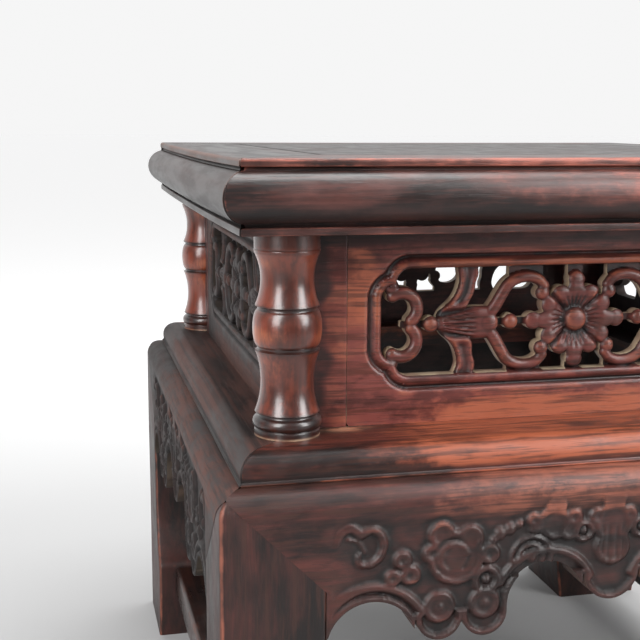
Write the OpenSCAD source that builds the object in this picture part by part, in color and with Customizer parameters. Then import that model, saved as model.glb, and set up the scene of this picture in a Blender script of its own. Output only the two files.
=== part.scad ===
// Low square hardwood stand with a high pierced waist, built the traditional way:
// a mitred top frame round a floating panel, turned bamboo-node columns at the corners
// of the waist, pierced waist panels, a step moulding, scalloped aprons mitred into the
// leg shoulders, hoof feet and foot stretchers. The waist is a little wider than deep.
// The origin is on the floor below the centre of the top, +Z is up and the front faces -Y.

/* [Heights] */
// Floor to the leg shoulders, where the aprons end
leg_h = 224; // [200:1:280]
// Height of the step moulding that lies on the shoulders
step_h = 16; // [14:0.5:20]
// Height of the waist between step moulding and top frame
waist_h = 104; // [94:1:124]
// Height of the moulded top frame
frame_h = 36; // [34:0.5:42]

/* [Plan] */
// Width of the square top over its lip
top_w = 380; // [370:1:420]
// Width of the waist over the faces of its side panels
waist_w = 325; // [318:1:331]
// Depth of the waist over the faces of its front and back panels
waist_d = 300; // [294:1:306]
// Width over the step moulding's ovolo
step_w = 381; // [376:1:388]
// Width over the apron and leg faces, the widest part
apron_w = 405; // [398:1:416]

/* [Top frame] */
// Width of a frame rail on the top surface
rail_w = 50; // [46:1:54]
// Ledge of a rail that reaches inwards below the panel
ledge_w = 14; // [12:0.5:18]
// Thickness of the floating top panel
board_t = 10; // [9:0.5:12]
// Length of the panel's tongue
tongue_l = 6; // [4:0.5:8]
// Height of the lip at the top of the edge
lip_h = 4; // [3:0.5:5]
// Round on the lip's upper edge
lip_r = 1.8; // [1:0.1:2.5]
// How far the half-round stands out past the lip
torus_out = 9; // [6:0.5:11]
// Height of the half-round
torus_h = 24; // [20:0.5:25]
// Height of the flat fillet under the half-round
fillet_h = 3.8; // [3:0.1:5]
// Depth of the grooves that part the mouldings
groove_d = 2.5; // [1.5:0.1:3]
// Width of a batten under the panel
batten_w = 30; // [24:1:40]
// Height of a batten
batten_h = 18; // [16:0.5:19]
// Distance of each batten from the centre line
batten_x = 60; // [40:1:80]

/* [Waist columns] */
// Largest radius of a column
column_r = 17.8; // [17:0.1:19]
// Radius at the thin middle of a segment
column_thin_r = 13.7; // [12.5:0.1:15]
// Radius at the ends of a segment and of the neck
column_end_r = 16.9; // [16.5:0.1:17]
// Distance of the column's axis outside the faces of the front and back panels
column_out = 5.5; // [4:0.5:7]
// Distance of the column's axis inside the faces of the side panels
column_in = 2; // [0:0.5:3]
// Height of the plain neck below the top frame
neck_h = 9; // [7:0.5:12]
// Height of the thin ring under the neck
ring_h = 2; // [1.5:0.1:3]
// Height of the round node in the middle
node_h = 18.5; // [16:0.5:21]
// Height of the round at the foot
foot_h = 6.5; // [5:0.5:8]
// Height of the flat base disc
base_h = 3.5; // [2.5:0.1:4.5]
// Height of the waisted segment below the node
low_h = 32.5; // [29:0.5:35]
// Height of the sunk lines between the parts
line_h = 1.6; // [1:0.1:2]
// Depth of the sunk lines
line_d = 1.6; // [1:0.1:2]

/* [Waist panels] */
// Thickness of a waist panel
panel_t = 9; // [8:0.5:12]
// Width of the pierced opening
open_w = 219; // [215:1:226]
// Height of the pierced opening
open_h = 57; // [54:0.5:60]
// How far the middle of the opening stands above the middle of the carving
open_up = 1.5; // [0:0.5:3]
// Radius of the two lobes in each corner of the opening
lobe_r = 8; // [6:0.5:9]
// Width of the roll moulding round the opening
roll_w = 4.5; // [3:0.5:5]
// Width of the sunk line outside the roll
sunk_w = 3; // [2:0.5:4]
// Depth of the sunk line
sunk_d = 2; // [1:0.5:3]
// Depth of the carving behind the panel's face
carve_d = 1.5; // [1:0.5:3]
// Width of a scroll's stem
stem_w = 6; // [5:0.5:6.5]
// Half width of the rosette
rosette_r = 29; // [27:0.5:30]
// Half height of the rosette
rosette_h = 25.8; // [24:0.2:27]
// Radius of the boss in the rosette
boss_r = 6; // [5:0.5:7]
// Radius of the beads on the centre line
bead_r = 4.2; // [3.6:0.1:4.6]
// Radius of the curl beside the rosette
curl_r = 9.8; // [9:0.1:10]
// Radius of the hook at the end of the opening
hook_r = 8.5; // [8:0.1:9]
// Half height of the fluted bud
bud_h = 8.5; // [8:0.5:9.5]
// Width of the wing that ties the bud to the frame
wing_w = 10.5; // [9:0.5:12]

/* [Step moulding] */
// Radius of the ovolo
ovolo_r = 10.5; // [9:0.5:12]
// Height of the thin fillet at the foot of the moulding
step_fillet_h = 1.5; // [1:0.1:2]
// How far the thin fillet stands out
step_fillet_out = 0.8; // [0.4:0.1:1.2]

/* [Apron] */
// Thickness of an apron
apron_t = 22; // [20:0.5:26]
// Height of an apron, shoulder to the tips of its lobes
apron_h = 82; // [76:1:90]
// Radius of the rounded shoulder
shoulder_r = 11.5; // [9:0.5:13]
// Half width of the pendant in the middle
pendant_w = 15; // [13:0.5:17]
// Height of the pendant's tip above the lobes
pendant_up = 13; // [10:1:18]
// Radius of the arched notch beside the pendant
notch_r = 21; // [18:0.5:22]
// Height of the notch's straight sides
notch_side = 15; // [10:1:18]
// Radius of the arch that runs into the leg
spandrel_r = 23; // [20:0.5:25]

/* [Legs] */
// Width of a leg's faces
leg_w = 52; // [48:1:56]
// Depth, front to back, of the post that each leg carries up through the waist
post_w = 22; // [20:0.5:24]
// Height of the full-width leg head behind the aprons
head_h = 34; // [30:1:40]
// Height at which the foot starts to turn inwards
hoof_start = 105; // [95:1:115]
// Height of the hoof's toe
toe_h = 60; // [58:0.5:70]
// How far the toe stands inwards from the leg
toe_out = 20.5; // [16:0.5:22]
// How far the toe is cut back at the floor
toe_back = 7; // [4:0.5:9]

/* [Stretchers] */
// Thickness of a stretcher, front to back
bar_w = 22; // [18:0.5:26]
// Height of a stretcher
bar_h = 22; // [18:0.5:23]
// Floor to the underside of a stretcher
bar_z = 36; // [34:0.5:37]
// Distance of a stretcher behind the leg's face
bar_in = 12.5; // [10:0.5:14]
// Roundness of a stretcher's upper edges
bar_r = 4; // [2:0.5:6]

/* [Joinery] */
// Clearance round tenons and tongues
fit = 0.15; // [0.1:0.05:0.3]
// Room for the top panel to swell
swell = 0.3; // [0.2:0.1:0.8]
// Thickness of the tongues on waist panels and aprons
tongue_t = 4; // [3:0.5:5]
// Length of the waist panels' tongues
panel_tongue = 5; // [4:0.5:6]
// Length of the columns' upper round tenon
top_pin_l = 7; // [5:0.5:8]
// Radius of the columns' round tenons
pin_r = 5; // [4:0.5:6]
// Length of the columns' lower tenon inside the leg head
low_pin_l = 12; // [8:1:16]
// Length of the tenons on the posts
post_tenon_l = 12; // [8:1:14]
// Width of the tenons on the posts
post_tenon_w = 7; // [5:0.5:7.5]
// Length of a stretcher's tenon
bar_tenon_l = 17; // [12:1:20]
// Thickness of a stretcher's tenon
bar_tenon_t = 8; // [6:0.5:10]
// Height of a stretcher's tenon
bar_tenon_h = 14; // [12:0.5:16]
// Thickness of a frame rail's corner tenon
corner_tenon_t = 8; // [6:0.5:9]
// Thickness of an apron's end tenon
apron_tenon_t = 7; // [6:0.5:8]
// Length of a batten's tenon
batten_tenon_l = 10; // [8:0.5:11]

/* [Hidden] */
$fn = 48;
FINE = 128;
SIDES = ["front", "right", "back", "left"];
CORNERS = ["front_right", "back_right", "back_left", "front_left"];
BATTENS = ["left", "right"];

// Levels above the floor
z_step = leg_h + step_h;
z_soffit = z_step + waist_h;
z_top = z_soffit + frame_h;
z_board = z_top - board_t;
z_torus = z_soffit + fillet_h + (frame_h - fillet_h - lip_h) / 2;

// Half widths of the plan
lip = top_w / 2;
waist_x = waist_w / 2;
waist_y = waist_d / 2;
step = step_w / 2;
apron = apron_w / 2;
reach = apron + 10;
rail_in = lip - rail_w;
ledge_in = rail_in - ledge_w;
post_in = waist_y - post_w;
apron_in = apron - apron_t;
leg_in = apron - leg_w;
toe_in = leg_in - toe_out;
column_x = waist_x - column_in;
column_y = waist_y + column_out;

// Distance of the waist's face, and of a column's axis, towards side number i
function waist_at(i) = i % 2 == 0 ? waist_y : waist_x;
function column_at(i) = i % 2 == 0 ? column_y : column_x;

// Tongue of the waist panel on side number i, in the middle of its thickness
function tongue_w0(i) = waist_at(i) - panel_t / 2 - tongue_t / 2;
function tongue_w1(i) = waist_at(i) - panel_t / 2 + tongue_t / 2;

// How far a cutter runs past the wood, and a joined shape into its neighbour
over = 1;

// Radius of an arc from its chord and its rise
function arc_r(chord, rise) = (chord * chord / 4 + rise * rise) / (2 * rise);
torus_r = arc_r(torus_h, torus_out);
hoof_r = arc_r(2 * (hoof_start - toe_h), toe_out);

dark_wood = "#3c1d16";
red_wood = "#5c2a1b";

// A front piece carried round to side number i
module turned(i) rotate([0, 0, 90 * i]) children();

// A section drawn as distance from the centre against height, run along X
module along_x(x0, x1)
    translate([x0, 0, 0]) rotate([90, 0, 90]) linear_extrude(x1 - x0) mirror([1, 0]) children();

// An outline drawn as X against height, run from distance w0 to w1 towards the front
module along_y(w0, w1)
    translate([0, -w0, 0]) rotate([90, 0, 0]) linear_extrude(w1 - w0) children();

// A block from corner a to corner b
module block(a, b) translate(a) cube(b - a);

// The same block grown by the joint clearance all round
module pocket(a, b) block([for (v = a) v - fit], [for (v = b) v + fit]);

// A rectangle from corner a to corner b
module box2d(a, b) translate(a) square(b - a);

// The quarter of the plan that belongs to the front, bounded by the corner mitres
module front_quarter()
    linear_extrude(z_top) polygon([[0, 0], [-reach, -reach], [reach, -reach]]);

// Both ends of a front piece, from its right end
module both_ends() {
    children();
    mirror([1, 0, 0]) children();
}

// Places a cutter on the axis of every column, seen from side number i
module at_columns(i)
    turned(-i) for (x = [-column_x, column_x], y = [-column_y, column_y]) translate([x, y, 0]) children();

// Section of a top frame rail: lip, half-round, fillet and the ledge below the panel
module rail_section() {
    box2d([ledge_in, z_soffit], [lip - groove_d, z_board]);
    box2d([rail_in, z_board - fit], [lip - groove_d, z_top - lip_h + fit]);
    box2d([rail_in, z_top - lip_h], [lip, z_top - lip_r]);
    box2d([rail_in, z_top - lip_h], [lip - lip_r, z_top]);
    translate([lip - lip_r, z_top - lip_r]) circle(lip_r);
    intersection() {
        translate([lip + torus_out - torus_r, z_torus]) circle(torus_r);
        box2d([ledge_in, z_soffit], [lip + torus_out, z_top - lip_h]);
    }
    box2d([ledge_in, z_soffit], [lip, z_soffit + fillet_h]);
}

// Right-hand corner tenon of a front or back rail
corner_cover = 5;
corner_z0 = z_soffit + top_pin_l + over;
corner_a = [rail_in, -lip + groove_d + rail_w / 3, corner_z0];
corner_b = [lip - groove_d - corner_cover, -rail_in - corner_cover, corner_z0 + corner_tenon_t];

// Tenons that stand on a post, one for each of the two rails that it carries
post_shoulder = 2;
post_tenon_a = [post_in + post_shoulder, -waist_y + post_shoulder, z_soffit];
post_tenon_b = post_tenon_a + [post_tenon_w, post_tenon_w, post_tenon_l];

module post_tenons(grow) {
    a = post_tenon_a - [grow, grow, grow];
    b = post_tenon_b + [grow, grow, grow];
    block(a, b);
    mirror([1, 1, 0]) block(a, b);
}

// Tenon on the front end of a batten, in the ledge of a rail
batten_z0 = z_board - batten_h;
batten_side = batten_w / 5;
batten_edge = batten_h / 4.5;
batten_tenon_a = [-batten_w / 2 + batten_side, -ledge_in - batten_tenon_l, batten_z0 + batten_edge];
batten_tenon_b = [batten_w / 2 - batten_side, -ledge_in, z_board - batten_edge];

module top_rail(i) {
    tenoned = i % 2 == 0;
    color(dark_wood) turned(i) {
        difference() {
            intersection() {
                along_x(-reach, reach) rail_section();
                front_quarter();
            }
            // Groove for the floating panel's tongue
            along_x(-reach, reach)
                box2d([rail_in - over, z_board],
                      [rail_in + tongue_l + swell, z_board + board_t / 2 + fit]);
            // Groove for the waist panel's tongue
            along_x(-post_in - fit, post_in + fit)
                box2d([tongue_w0(i) - fit, z_soffit - over],
                      [tongue_w1(i) + fit, z_soffit + panel_tongue + fit]);
            both_ends() post_tenons(fit);
            at_columns(i)
                translate([0, 0, z_soffit - over]) cylinder(r = pin_r + fit, h = top_pin_l + fit + over);
            if (tenoned)
                for (x = [-batten_x, batten_x])
                    translate([x, 0, 0]) pocket(batten_tenon_a, batten_tenon_b);
            else
                both_ends() mirror([1, 1, 0]) pocket(corner_a, corner_b);
        }
        if (tenoned)
            both_ends() difference() {
                block(corner_a, corner_b);
                front_quarter();
            }
    }
}

// Section of the dovetail that keys a batten to the panel
module dovetail(grow) {
    key_w = batten_w / 3 + grow;
    neck_w = key_w - 2;
    key_top = z_board + board_t / 3 + grow;
    polygon([
        [-neck_w, z_board - over], [neck_w, z_board - over], [neck_w, z_board],
        [key_w, key_top], [-key_w, key_top], [-neck_w, z_board]
    ]);
}

module top_panel() {
    edge = rail_in - swell;
    tongue = rail_in + tongue_l;
    color(dark_wood) difference() {
        union() {
            block([-edge, -edge, z_board], [edge, edge, z_top]);
            block([-tongue, -tongue, z_board], [tongue, tongue, z_board + board_t / 2]);
        }
        for (x = [-batten_x, batten_x])
            translate([x, 0, 0]) along_y(-ledge_in, ledge_in) dovetail(fit);
    }
}

module batten(x) {
    color(red_wood) translate([x, 0, 0]) {
        block([-batten_w / 2, -ledge_in + fit, batten_z0], [batten_w / 2, ledge_in - fit, z_board]);
        along_y(-ledge_in + over, ledge_in - over) dovetail(0);
        for (k = [0, 1]) mirror([0, k, 0]) block(batten_tenon_a, batten_tenon_b + [0, over, 0]);
    }
}

// Half section of a turned column, radius against height, from its foot on the step moulding
high_h = waist_h - neck_h - ring_h - node_h - foot_h - base_h - 3 * line_h - low_h;
column_line_r = column_end_r - line_d;

// A round swelling of height h and radius r that starts from the sunk line's radius
module column_round(r, h) {
    bow = arc_r(h, r - column_line_r);
    intersection() {
        square([r + over, h]);
        translate([r - bow, h / 2]) circle(bow, $fn = FINE);
    }
}

// A waisted segment of height h
module column_segment(h) {
    hollow_r = arc_r(h, column_end_r - column_thin_r);
    difference() {
        square([column_end_r, h]);
        translate([column_thin_r + hollow_r, h / 2]) circle(hollow_r, $fn = FINE);
    }
}

z_foot = z_step + base_h;
z_low = z_foot + foot_h + line_h;
z_node = z_low + low_h + line_h;
z_high = z_node + node_h + line_h;
z_ring = z_high + high_h;

module column_section() {
    translate([0, z_step]) square([column_thin_r - over, waist_h]);
    // Sunk lines between the parts, and the core of the thin ring
    for (z = [z_low, z_node, z_high])
        translate([0, z - line_h - over]) square([column_line_r, line_h + 2 * over]);
    translate([0, z_ring - over]) square([column_line_r, ring_h + 2 * over]);
    translate([0, z_step]) square([column_end_r, base_h]);
    translate([0, z_foot]) column_round(column_r, foot_h);
    translate([0, z_low]) column_segment(low_h);
    translate([0, z_node]) column_round(column_r, node_h);
    translate([0, z_high]) column_segment(high_h);
    translate([0, z_ring]) column_round(column_end_r, ring_h);
    translate([0, z_ring + ring_h]) square([column_end_r, neck_h]);
    translate([0, leg_h - low_pin_l]) square([pin_r, step_h + low_pin_l]);
    translate([0, z_soffit]) square([pin_r, top_pin_l]);
}

// The column at the right-hand end of side number i
module waist_column(i) {
    color(red_wood) difference() {
        translate([column_at(i + 1), -column_at(i), 0]) rotate_extrude() column_section();
        // Notch that fits over the corner of the post
        block([0, -waist_at(i) - fit, z_step - fit], [waist_at(i + 1) + fit, 0, z_soffit + fit]);
    }
}

// Outline of the pierced opening, grown by d: a rectangle with two lobes in each corner
module opening(d) {
    half_w = open_w / 2;
    half_h = open_h / 2;
    translate([0, open_up]) {
        square([2 * (half_w + d), 2 * (half_h - 2 * lobe_r)], center = true);
        square([2 * (half_w - 2 * lobe_r), 2 * (half_h + d)], center = true);
        for (x = [-1, 1], z = [-1, 1]) {
            translate([x * (half_w - lobe_r), z * (half_h - 2 * lobe_r)]) circle(lobe_r + d);
            translate([x * (half_w - 2 * lobe_r), z * (half_h - lobe_r)]) circle(lobe_r + d);
        }
    }
}

// A stem bent round radius r from angle a to angle b, with a round tip
module scroll(r, a, b, tip_r) {
    fan = [for (k = [0:8]) 2 * r * [cos(a + (b - a) * k / 8), sin(a + (b - a) * k / 8)]];
    intersection() {
        difference() {
            circle(r + stem_w / 2);
            circle(r - stem_w / 2);
        }
        polygon(concat([[0, 0]], fan));
    }
    translate(r * [cos(b), sin(b)]) circle(tip_r);
}

// One petal of three lobes, drawn upwards, with its tip at distance l
module petal(l) {
    tip = rosette_r / 6.2;
    translate([0, l - tip]) circle(tip);
    for (s = [-1, 1]) translate([s * 1.8 * tip, 0.48 * l]) circle(1.12 * tip);
    polygon([[-1.7 * tip, l / 3], [1.7 * tip, l / 3], [0.6 * tip, l - tip], [-0.6 * tip, l - tip]]);
}

// Four petals round the boss
module rosette() {
    circle(0.6 * rosette_h);
    for (k = [0, 1]) mirror([0, k]) petal(rosette_h);
    for (k = [-1, 1]) rotate(90 * k) petal(rosette_r);
}

// Places along the carving, measured from the middle of the opening
curl_at = [-28.5, 13.8];
bead_at = -37.5;
knob_at = -50;
bud_end = -78;
wing_at = -58 - wing_w;
open_top = open_h / 2 + open_up;
// Centre of the hook, its root beside the cusp of the frame and its turn there
hook_at = [hook_r + stem_w / 2 - open_w / 2, hook_r];
hook_root = [0.7 * lobe_r - open_w / 2, open_top - 1.2 * lobe_r];
root_turn = 125;
end_bead_at = hook_at[0] + hook_r + stem_w / 2 + bead_r;

// Fluted bud that opens towards the rosette, with the knob in its mouth
module bud() {
    polygon([
        [bud_end, bud_h / 3], [wing_at, 0.8 * bud_h], [knob_at - stem_w, bud_h],
        [knob_at + stem_w / 2, bud_h], [knob_at + stem_w / 2, -bud_h], [knob_at - stem_w, -bud_h],
        [wing_at, -0.8 * bud_h], [bud_end, -bud_h / 3]
    ]);
    translate([knob_at, 0]) circle(0.6 * bud_h);
}

// Wing that rises from the bud to the frame, swept into the bud on its outer side
module wing() {
    sweep = wing_at - bud_end;
    translate([wing_at, 0]) square([wing_w, open_top + over]);
    translate([wing_at + 0.85 * wing_w, 0.75 * open_top]) circle(wing_w / 3);
    difference() {
        translate([bud_end, 0]) square([sweep + over, bud_h / 3 + sweep]);
        translate([bud_end, bud_h / 3 + sweep]) circle(sweep);
    }
}

// Curl that rises from the bud's mouth, bends over and ends in a ball beside the rosette
module curl() {
    foot = [knob_at + stem_w / 2, bud_h - stem_w / 2];
    // The straight foot runs along the bend's tangent, a little slimmer than the bend
    away = foot - curl_at;
    start = atan2(away[1], away[0]) + 360 - acos(curl_r / norm(away));
    along = curl_at + curl_r * [cos(start), sin(start)] - foot;
    foot_w = 0.94 * stem_w;
    translate(foot) rotate(atan2(along[1], along[0]))
        translate([0, -foot_w / 2]) square([norm(along) + over, foot_w]);
    translate(curl_at) scroll(curl_r, start, 5, 0.7 * stem_w);
    // Tie between the curl and the frame
    tie_z = curl_at[1] + curl_r;
    translate([curl_at[0] - curl_r, tie_z]) square([2 * curl_r, open_top - tie_z + over]);
}

// Hook at the end of the opening, grown out of the cusp of the frame
module hook() {
    translate(hook_at) scroll(hook_r, root_turn, -50, 0.55 * stem_w);
    translate(hook_root) circle(0.7 * stem_w);
}

// The carving that fills the opening: rosette, buds, wings, curls, hooks and beads
module carving() {
    intersection() {
        union() {
            rosette();
            for (x = [0, 1]) mirror([x, 0]) {
                bud();
                for (z = [0, 1]) mirror([0, z]) {
                    wing();
                    curl();
                    hook();
                }
                for (at = [bead_at, end_bead_at]) translate([at, 0]) circle(bead_r);
                // Stalk behind the beads, from the hooks' tips to the rosette
                translate([hook_at[0], -stem_w / 4]) square([-hook_at[0], stem_w / 2]);
            }
            // Ties between the upright petals and the frame
            square([1.4 * stem_w, 2 * (open_top + over)], center = true);
        }
        opening(roll_w / 2);
    }
}

// The panel of side number i
module waist_panel(i) {
    mid = z_step + waist_h / 2;
    face = waist_at(i);
    back = face - panel_t;
    color(red_wood) translate([0, 0, mid]) {
        difference() {
            translate([0, 0, -mid]) {
                block([-post_in + fit, -face, z_step], [post_in - fit, -back, z_soffit]);
                // Tongues along the four edges
                block([-post_in + fit, -tongue_w1(i), z_step - panel_tongue],
                      [post_in - fit, -tongue_w0(i), z_soffit + panel_tongue]);
                block([-post_in - panel_tongue, -tongue_w1(i), z_step + fit],
                      [post_in + panel_tongue, -tongue_w0(i), z_soffit - fit]);
            }
            along_y(0, reach) opening(0);
            along_y(face - sunk_d, reach) difference() {
                opening(roll_w + sunk_w);
                opening(roll_w);
            }
        }
        along_y(back, face - carve_d) carving();
        along_y(back, face) circle(boss_r);
    }
}

// Section of the step moulding
module step_section() {
    intersection() {
        union() {
            box2d([post_in, leg_h], [step - ovolo_r, z_step]);
            translate([step - ovolo_r, z_step - ovolo_r]) circle(ovolo_r);
            box2d([post_in, leg_h], [step, z_step - ovolo_r]);
            box2d([post_in, leg_h], [step + step_fillet_out, leg_h + step_fillet_h]);
        }
        box2d([0, leg_h], [reach, z_step]);
    }
}

// Tongue on the upper edge of an apron, in the underside of the step moulding
apron_tongue_end = leg_in - 10;
apron_tongue_a = [-apron_tongue_end, -apron_in - tongue_t, leg_h];
apron_tongue_b = [apron_tongue_end, -apron_in - over, leg_h + step_h / 3];

module step_moulding(i) {
    color(red_wood) difference() {
        intersection() {
            along_x(-reach, reach) step_section();
            front_quarter();
        }
        // Corners where the posts pass
        both_ends()
            block([post_in - over, -waist_at(i) - fit, leg_h - over],
                  [waist_at(i + 1) + fit, 0, z_step + over]);
        // Groove for the waist panel's tongue
        along_x(-post_in - fit, post_in + fit)
            box2d([tongue_w0(i) - fit, z_step - panel_tongue - fit], [tongue_w1(i) + fit, z_step + over]);
        at_columns(i) translate([0, 0, leg_h - over]) cylinder(r = pin_r + fit, h = step_h + 2 * over);
        pocket(apron_tongue_a, apron_tongue_b);
    }
}

// Section of an apron, with the rounded shoulder
module apron_section() {
    box2d([0, 0], [apron, leg_h - shoulder_r]);
    box2d([0, 0], [apron - shoulder_r, leg_h]);
    translate([apron - shoulder_r, leg_h - shoulder_r]) circle(shoulder_r);
}

// Level at which the mitre of an apron reaches the inner edge of the leg
z_mitre = leg_h - leg_w;
z_lobe = leg_h - apron_h;

// Face outline of an apron: mitred ends, pendant, notches, paired lobes and arches below
notch_at = pendant_w + notch_r;
lobe_in = notch_at + notch_r;
lobe_out = leg_in - 2 * spandrel_r;
tip_r = (lobe_out - lobe_in) / 4;
module apron_outline() {
    difference() {
        polygon([
            [-apron, leg_h], [apron, leg_h], [leg_in, z_mitre],
            [leg_in, z_lobe], [-leg_in, z_lobe], [-leg_in, z_mitre]
        ]);
        for (s = [-1, 1]) {
            translate([s * notch_at, z_lobe + notch_side]) circle(notch_r);
            translate([s * notch_at - notch_r, z_lobe - over]) square([2 * notch_r, notch_side + over]);
            translate([s * (leg_in - spandrel_r), z_lobe]) circle(spandrel_r);
        }
        box2d([-pendant_w - over, z_lobe - over], [pendant_w + over, z_lobe + pendant_up + pendant_w]);
        box2d([-lobe_out - over, z_lobe - over], [lobe_out + over, z_lobe + tip_r]);
    }
    intersection() {
        union() {
            translate([0, z_lobe + pendant_up + pendant_w]) circle(pendant_w);
            for (x = [lobe_in + tip_r, lobe_out - tip_r], s = [-1, 1])
                translate([s * x, z_lobe + tip_r]) circle(tip_r);
        }
        box2d([-lobe_out, z_lobe], [lobe_out, leg_h]);
    }
}

// Right-hand end tenon of an apron, inside the leg below the mitre
apron_tenon_w0 = apron_in + (apron_t - apron_tenon_t) / 2;
apron_tenon_z0 = z_mitre - 6;
apron_tenon_a = [leg_in - over, -apron_tenon_w0 - apron_tenon_t, apron_tenon_z0];
apron_tenon_b = [apron_in - over, -apron_tenon_w0, apron_tenon_z0 + apron_t];

module apron() {
    color(dark_wood) {
        intersection() {
            along_x(-reach, reach) apron_section();
            along_y(apron_in, apron) apron_outline();
            front_quarter();
        }
        both_ends() intersection() {
            block(apron_tenon_a, apron_tenon_b);
            front_quarter();
        }
        block(apron_tongue_a, apron_tongue_b);
    }
}

// Inner and outer contour of a leg on one face: head, straight stretch and hoof foot
toe_gap = 2;
module leg_contour() {
    box2d([leg_in, 0], [apron, leg_h]);
    box2d([post_in, leg_h - head_h], [apron, leg_h]);
    cove = leg_in - post_in;
    difference() {
        box2d([post_in, leg_h - head_h - cove], [leg_in + over, leg_h - head_h + over]);
        translate([post_in, leg_h - head_h - cove]) circle(cove);
    }
    difference() {
        box2d([toe_in, 0], [leg_in + over, hoof_start]);
        translate([leg_in - hoof_r, hoof_start]) circle(hoof_r, $fn = FINE);
        polygon([
            [toe_in - over, -over], [toe_in + toe_back, -over],
            [toe_in, bar_z - toe_gap], [toe_in - over, bar_z - toe_gap]
        ]);
    }
}

// Space that the front apron takes out of a leg: beside its inner edge and above the mitre
module apron_seat()
    along_y(apron_in, reach)
        polygon([
            [0, z_lobe], [leg_in, z_lobe], [leg_in, z_mitre],
            [reach, leg_h + reach - apron], [0, leg_h + reach - apron]
        ]);

// Right-hand tenon of the front stretcher
bar_w0 = apron - bar_in - bar_w;
bar_w1 = apron - bar_in;
bar_tenon_a = [toe_in, -(bar_w0 + bar_w1) / 2 - bar_tenon_t / 2, bar_z + (bar_h - bar_tenon_h) / 2];
bar_tenon_b = bar_tenon_a + [bar_tenon_l, bar_tenon_t, bar_tenon_h];

// Hole for the column's lower tenon, down through the step moulding into the leg
module column_hole(i)
    translate([column_at(i + 1), -column_at(i), leg_h - low_pin_l - fit])
        cylinder(r = pin_r + fit, h = low_pin_l + step_h + 2 * fit);

// The leg at the right-hand end of side number i, with its post
module leg(i) {
    color(dark_wood) {
        difference() {
            intersection() {
                along_y(0, apron) leg_contour();
                along_x(0, apron) leg_contour();
                along_y(0, apron) apron_section();
                along_x(0, apron) apron_section();
            }
            for (k = [0, 1]) mirror([k, k, 0]) {
                apron_seat();
                pocket(apron_tenon_a, apron_tenon_b);
                pocket(bar_tenon_a - [over, 0, 0], bar_tenon_b);
            }
            column_hole(i);
        }
        difference() {
            block([post_in, -waist_at(i), leg_h - over], [waist_at(i + 1), -post_in, z_soffit]);
            // Grooves for the end tongues of the two waist panels
            for (k = [0, 1]) mirror([k, k, 0])
                block([post_in - over, -tongue_w1(i + k) - fit, z_step],
                      [post_in + panel_tongue + fit, -tongue_w0(i + k) + fit, z_soffit + over]);
            column_hole(i);
        }
        post_tenons(0);
    }
}

// Section of a stretcher with its upper edges eased
module stretcher_section() {
    top = bar_z + bar_h;
    box2d([bar_w0, bar_z], [bar_w1, top - bar_r]);
    box2d([bar_w0 + bar_r, bar_z], [bar_w1 - bar_r, top]);
    for (w = [bar_w0 + bar_r, bar_w1 - bar_r]) translate([w, top - bar_r]) circle(bar_r);
}

module stretcher() {
    color(dark_wood) {
        along_x(-toe_in, toe_in) stretcher_section();
        both_ends() block(bar_tenon_a - [over, 0, 0], bar_tenon_b);
    }
}

top_panel();
for (i = [0:3]) {
    top_rail(i);
    turned(i) waist_column(i);
    turned(i) waist_panel(i);
    turned(i) step_moulding(i);
    turned(i) apron();
    turned(i) leg(i);
    turned(i) stretcher();
}
for (k = [0, 1])
    batten((2 * k - 1) * batten_x);
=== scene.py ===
from functools import partial, reduce

import bpy
import numpy as np
from mathutils import Matrix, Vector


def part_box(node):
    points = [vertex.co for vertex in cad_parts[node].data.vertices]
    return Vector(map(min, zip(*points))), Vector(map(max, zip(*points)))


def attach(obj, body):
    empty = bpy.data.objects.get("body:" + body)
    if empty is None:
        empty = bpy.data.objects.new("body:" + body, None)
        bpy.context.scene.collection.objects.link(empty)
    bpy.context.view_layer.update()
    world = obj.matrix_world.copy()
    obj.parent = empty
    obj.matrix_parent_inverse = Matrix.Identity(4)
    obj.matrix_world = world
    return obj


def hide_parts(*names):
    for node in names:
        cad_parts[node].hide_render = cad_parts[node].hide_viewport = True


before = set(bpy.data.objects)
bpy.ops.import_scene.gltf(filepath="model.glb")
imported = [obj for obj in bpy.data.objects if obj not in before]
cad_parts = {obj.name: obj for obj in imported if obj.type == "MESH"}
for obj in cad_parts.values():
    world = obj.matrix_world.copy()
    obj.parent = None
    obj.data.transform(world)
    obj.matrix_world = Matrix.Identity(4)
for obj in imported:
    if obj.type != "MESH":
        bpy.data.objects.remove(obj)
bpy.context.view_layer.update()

# Legs: four square uprights of dark rosewood, each one piece from its hoof foot to the tenons below the top.
# They are sawn and carved from the solid. The aprons are let into the two outer faces with a long mitre,
# and a slim post runs on from each shoulder through the waist.
mm = 0.001
CORNERS = ("back_right", "back_left", "front_left", "front_right")
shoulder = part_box("step_moulding_front")[0].z / mm
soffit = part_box("top_rail_front")[0].z / mm
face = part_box("leg_back_right")[1].x / mm
toe_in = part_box("leg_back_right")[0].x / mm
leg_w, leg_edge, head_h = 52, 2.2, 34
leg_in = face - leg_w
post_in = 128
waist = -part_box("waist_panel_front")[0].y / mm
side_waist = -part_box("waist_panel_left")[0].x / mm
shoulder_r, apron_t = 11.5, 22
hoof_start, toe_h, toe_back, toe_foot = 105, 60, 7, 34


def grid_quads(rows, cols, wrap_rows=False, wrap_cols=False):
    """Corner numbers of a grid's quads, row by row. A wrapped grid joins its last row or column to its first."""
    i, j = np.meshgrid(np.arange(rows - 1 + wrap_rows), np.arange(cols - 1 + wrap_cols), indexing="ij")
    up, on = (i + 1) % rows, (j + 1) % cols
    return np.stack([i * cols + j, i * cols + on, up * cols + on, up * cols + j], -1).reshape(-1, 4)


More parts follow.
